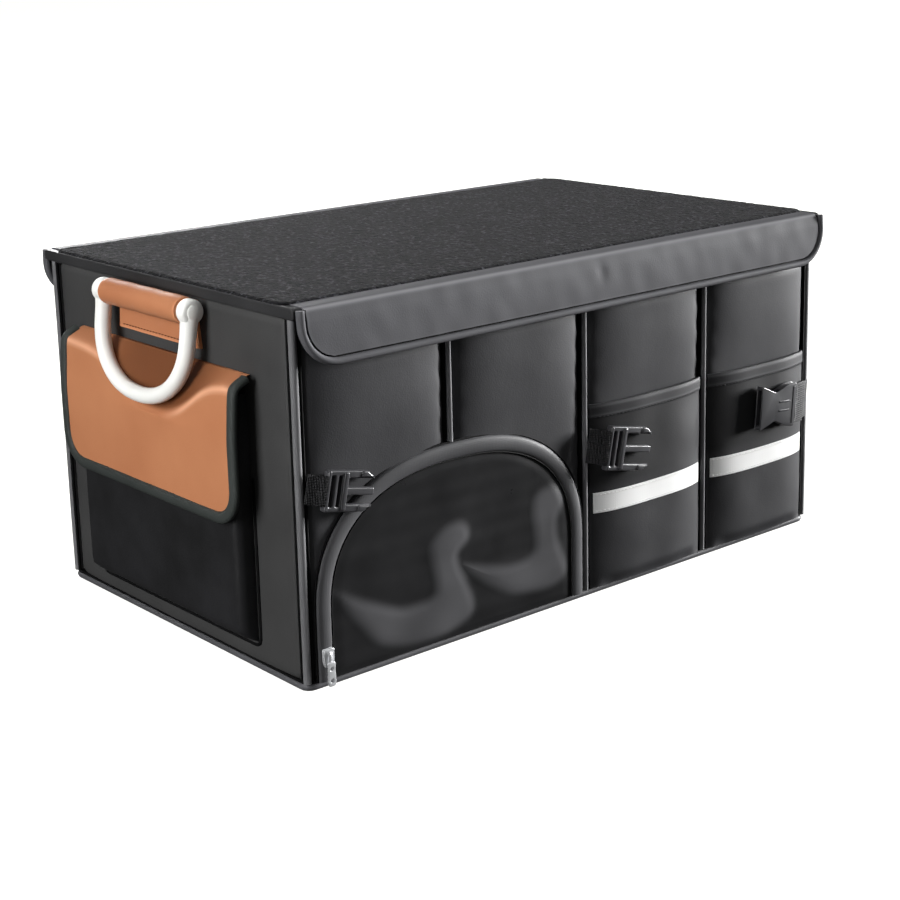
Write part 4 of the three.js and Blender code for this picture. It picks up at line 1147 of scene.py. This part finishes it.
UPRIGHT, FLAT = (1, 2, 0), (0, 1, 2)
PATCH_DOWN = (14.5, 34.5)


def bound_board(node, name, axes, material=lining, lift=0.0):
    """A board on its solid's box: the axes are the two of its outline and the one through it."""
    low, high = (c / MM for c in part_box(node))
    along, across, through = axes
    bottom, top = low[through] + lift, high[through]
    outline = rounded(box_outline(low[along], low[across], high[along], high[across]), 8)
    verts, faces = plate_mesh(outline, bottom, top, min(1.2, (top - bottom) / 2 - 0.2))
    placed = np.empty_like(verts)
    placed[:, list(axes)] = verts
    build(name, (placed, faces), material, [node], crease=30)


for i in (1, 2):
    bound_board(f"divider_{i}", f"divider_cloth_{i}", UPRIGHT)
bound_board("floor_board", "floor_board_cloth", FLAT)
bound_board("floor_panel", "floor_panel_cloth", FLAT, cloth, 0.2)
for end, _ in ENDS:
    low, high = (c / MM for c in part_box(f"hook_patch_{end}"))
    outline = rounded(box_outline(low.x, low.z, high.x, high.z), 3)
    build(f"hook_tape_{end}", upright_plate(outline, -high.y, -low.y, 0.5), hook_tape,
          [f"hook_patch_{end}"])
    outline = rounded(box_outline(low.x, PATCH_DOWN[0], high.x, PATCH_DOWN[1]), 3)
    verts, faces = plate_mesh(outline, -1.8, -0.3, 0.5)
    placed = on_side(FRONT, verts[:, 0], *hung(verts[:, 1], verts[:, 2]))
    build(f"loop_tape_{end}", (placed, faces), loop_tape, [f"loop_patch_{end}"], "skirt")


# Floor and light

FLOOR_HALF = 40.0
DOME = 32.0


def set_piece(name, verts, faces, base, glow):
    """A floor or backdrop that the camera sees, and that sends no light back onto the object."""
    mesh = bpy.data.meshes.new(name)
    mesh.from_pydata(verts, [], faces)
    light = (("Emission Color", (1, 1, 0.98, 1)), ("Emission Strength", glow))
    dark = [0.98 * c for c in base]
    mesh.materials.append(finish(f"{name}_paper", base, dark, 0.9, [("noise", 3, 0.001, 0.05)], mottle=1,
                                 fixed=light))
    piece = link(name, mesh)
    piece.visible_diffuse = False
    piece.visible_glossy = False
    return piece


corners = box_outline(-FLOOR_HALF, -FLOOR_HALF, FLOOR_HALF, FLOOR_HALF)
floor = set_piece("floor", [(x, y, 0) for x, y in corners], [(0, 1, 2, 3)], (0.34, 0.34, 0.33), 0.9)
floor.location.z = -0.0002
rings = [(DOME * math.cos(t) + 0.01, DOME * math.sin(t) - 0.5) for t in np.linspace(0, math.pi / 2, 12)]
dome_points = [(r * math.cos(t), r * math.sin(t), up) for r, up in rings for t in full_turn(48)]
dome = set_piece("backdrop", dome_points, grid_faces(len(rings), 48, wrap_cols=True), (0.02, 0.02, 0.02), 0.97)
dome.visible_shadow = False

world = bpy.data.worlds.new("studio")
world.use_nodes = True
sky, sky_links = world.node_tree.nodes, world.node_tree.links
height = sky.new("ShaderNodeSeparateXYZ")
sky_links.new(sky.new("ShaderNodeTexCoord").outputs["Generated"], height.inputs[0])
ramp = sky.new("ShaderNodeValToRGB")
stops = ramp.color_ramp.elements
stops[0].color = (0.06, 0.06, 0.06, 1)
stops[1].position = 0.08
stops[1].color = (0.26, 0.26, 0.255, 1)
stops.new(1.0).color = (0.24, 0.24, 0.24, 1)
sky_links.new(height.outputs["Z"], ramp.inputs["Fac"])
sky_links.new(ramp.outputs["Color"], sky["Background"].inputs["Color"])
bpy.context.scene.world = world
bpy.context.scene.view_settings.view_transform = "Standard"


def soft_light(name, place, aim, size, power):
    data = bpy.data.lights.new(name, "AREA")
    data.shape = "RECTANGLE"
    data.size, data.size_y = size
    data.energy = power
    light = link(name, data)
    light.visible_camera = False
    light.location = place
    light.rotation_euler = (Vector(aim) - Vector(place)).to_track_quat("-Z", "Y").to_euler()


soft_light("key", (9.0, -2.7, 1.3), (0, -0.1, 0.15), (2.2, 2.8), 3200)
soft_light("end_fill", (-1.3, -0.15, 0.5), (-0.28, -0.05, 0.15), (0.5, 0.7), 13.5)
soft_light("top", (0.2, 0.8, 2.3), (0, 0, 0.28), (1.8, 0.8), 14)
soft_light("back_fill", (1.6, 4.2, 1.0), (0, 0.1, 0.15), (1.5, 1.5), 170)
soft_light("right_fill", (2.4, 0.3, 0.9), (0.28, 0, 0.15), (0.8, 0.8), 3)
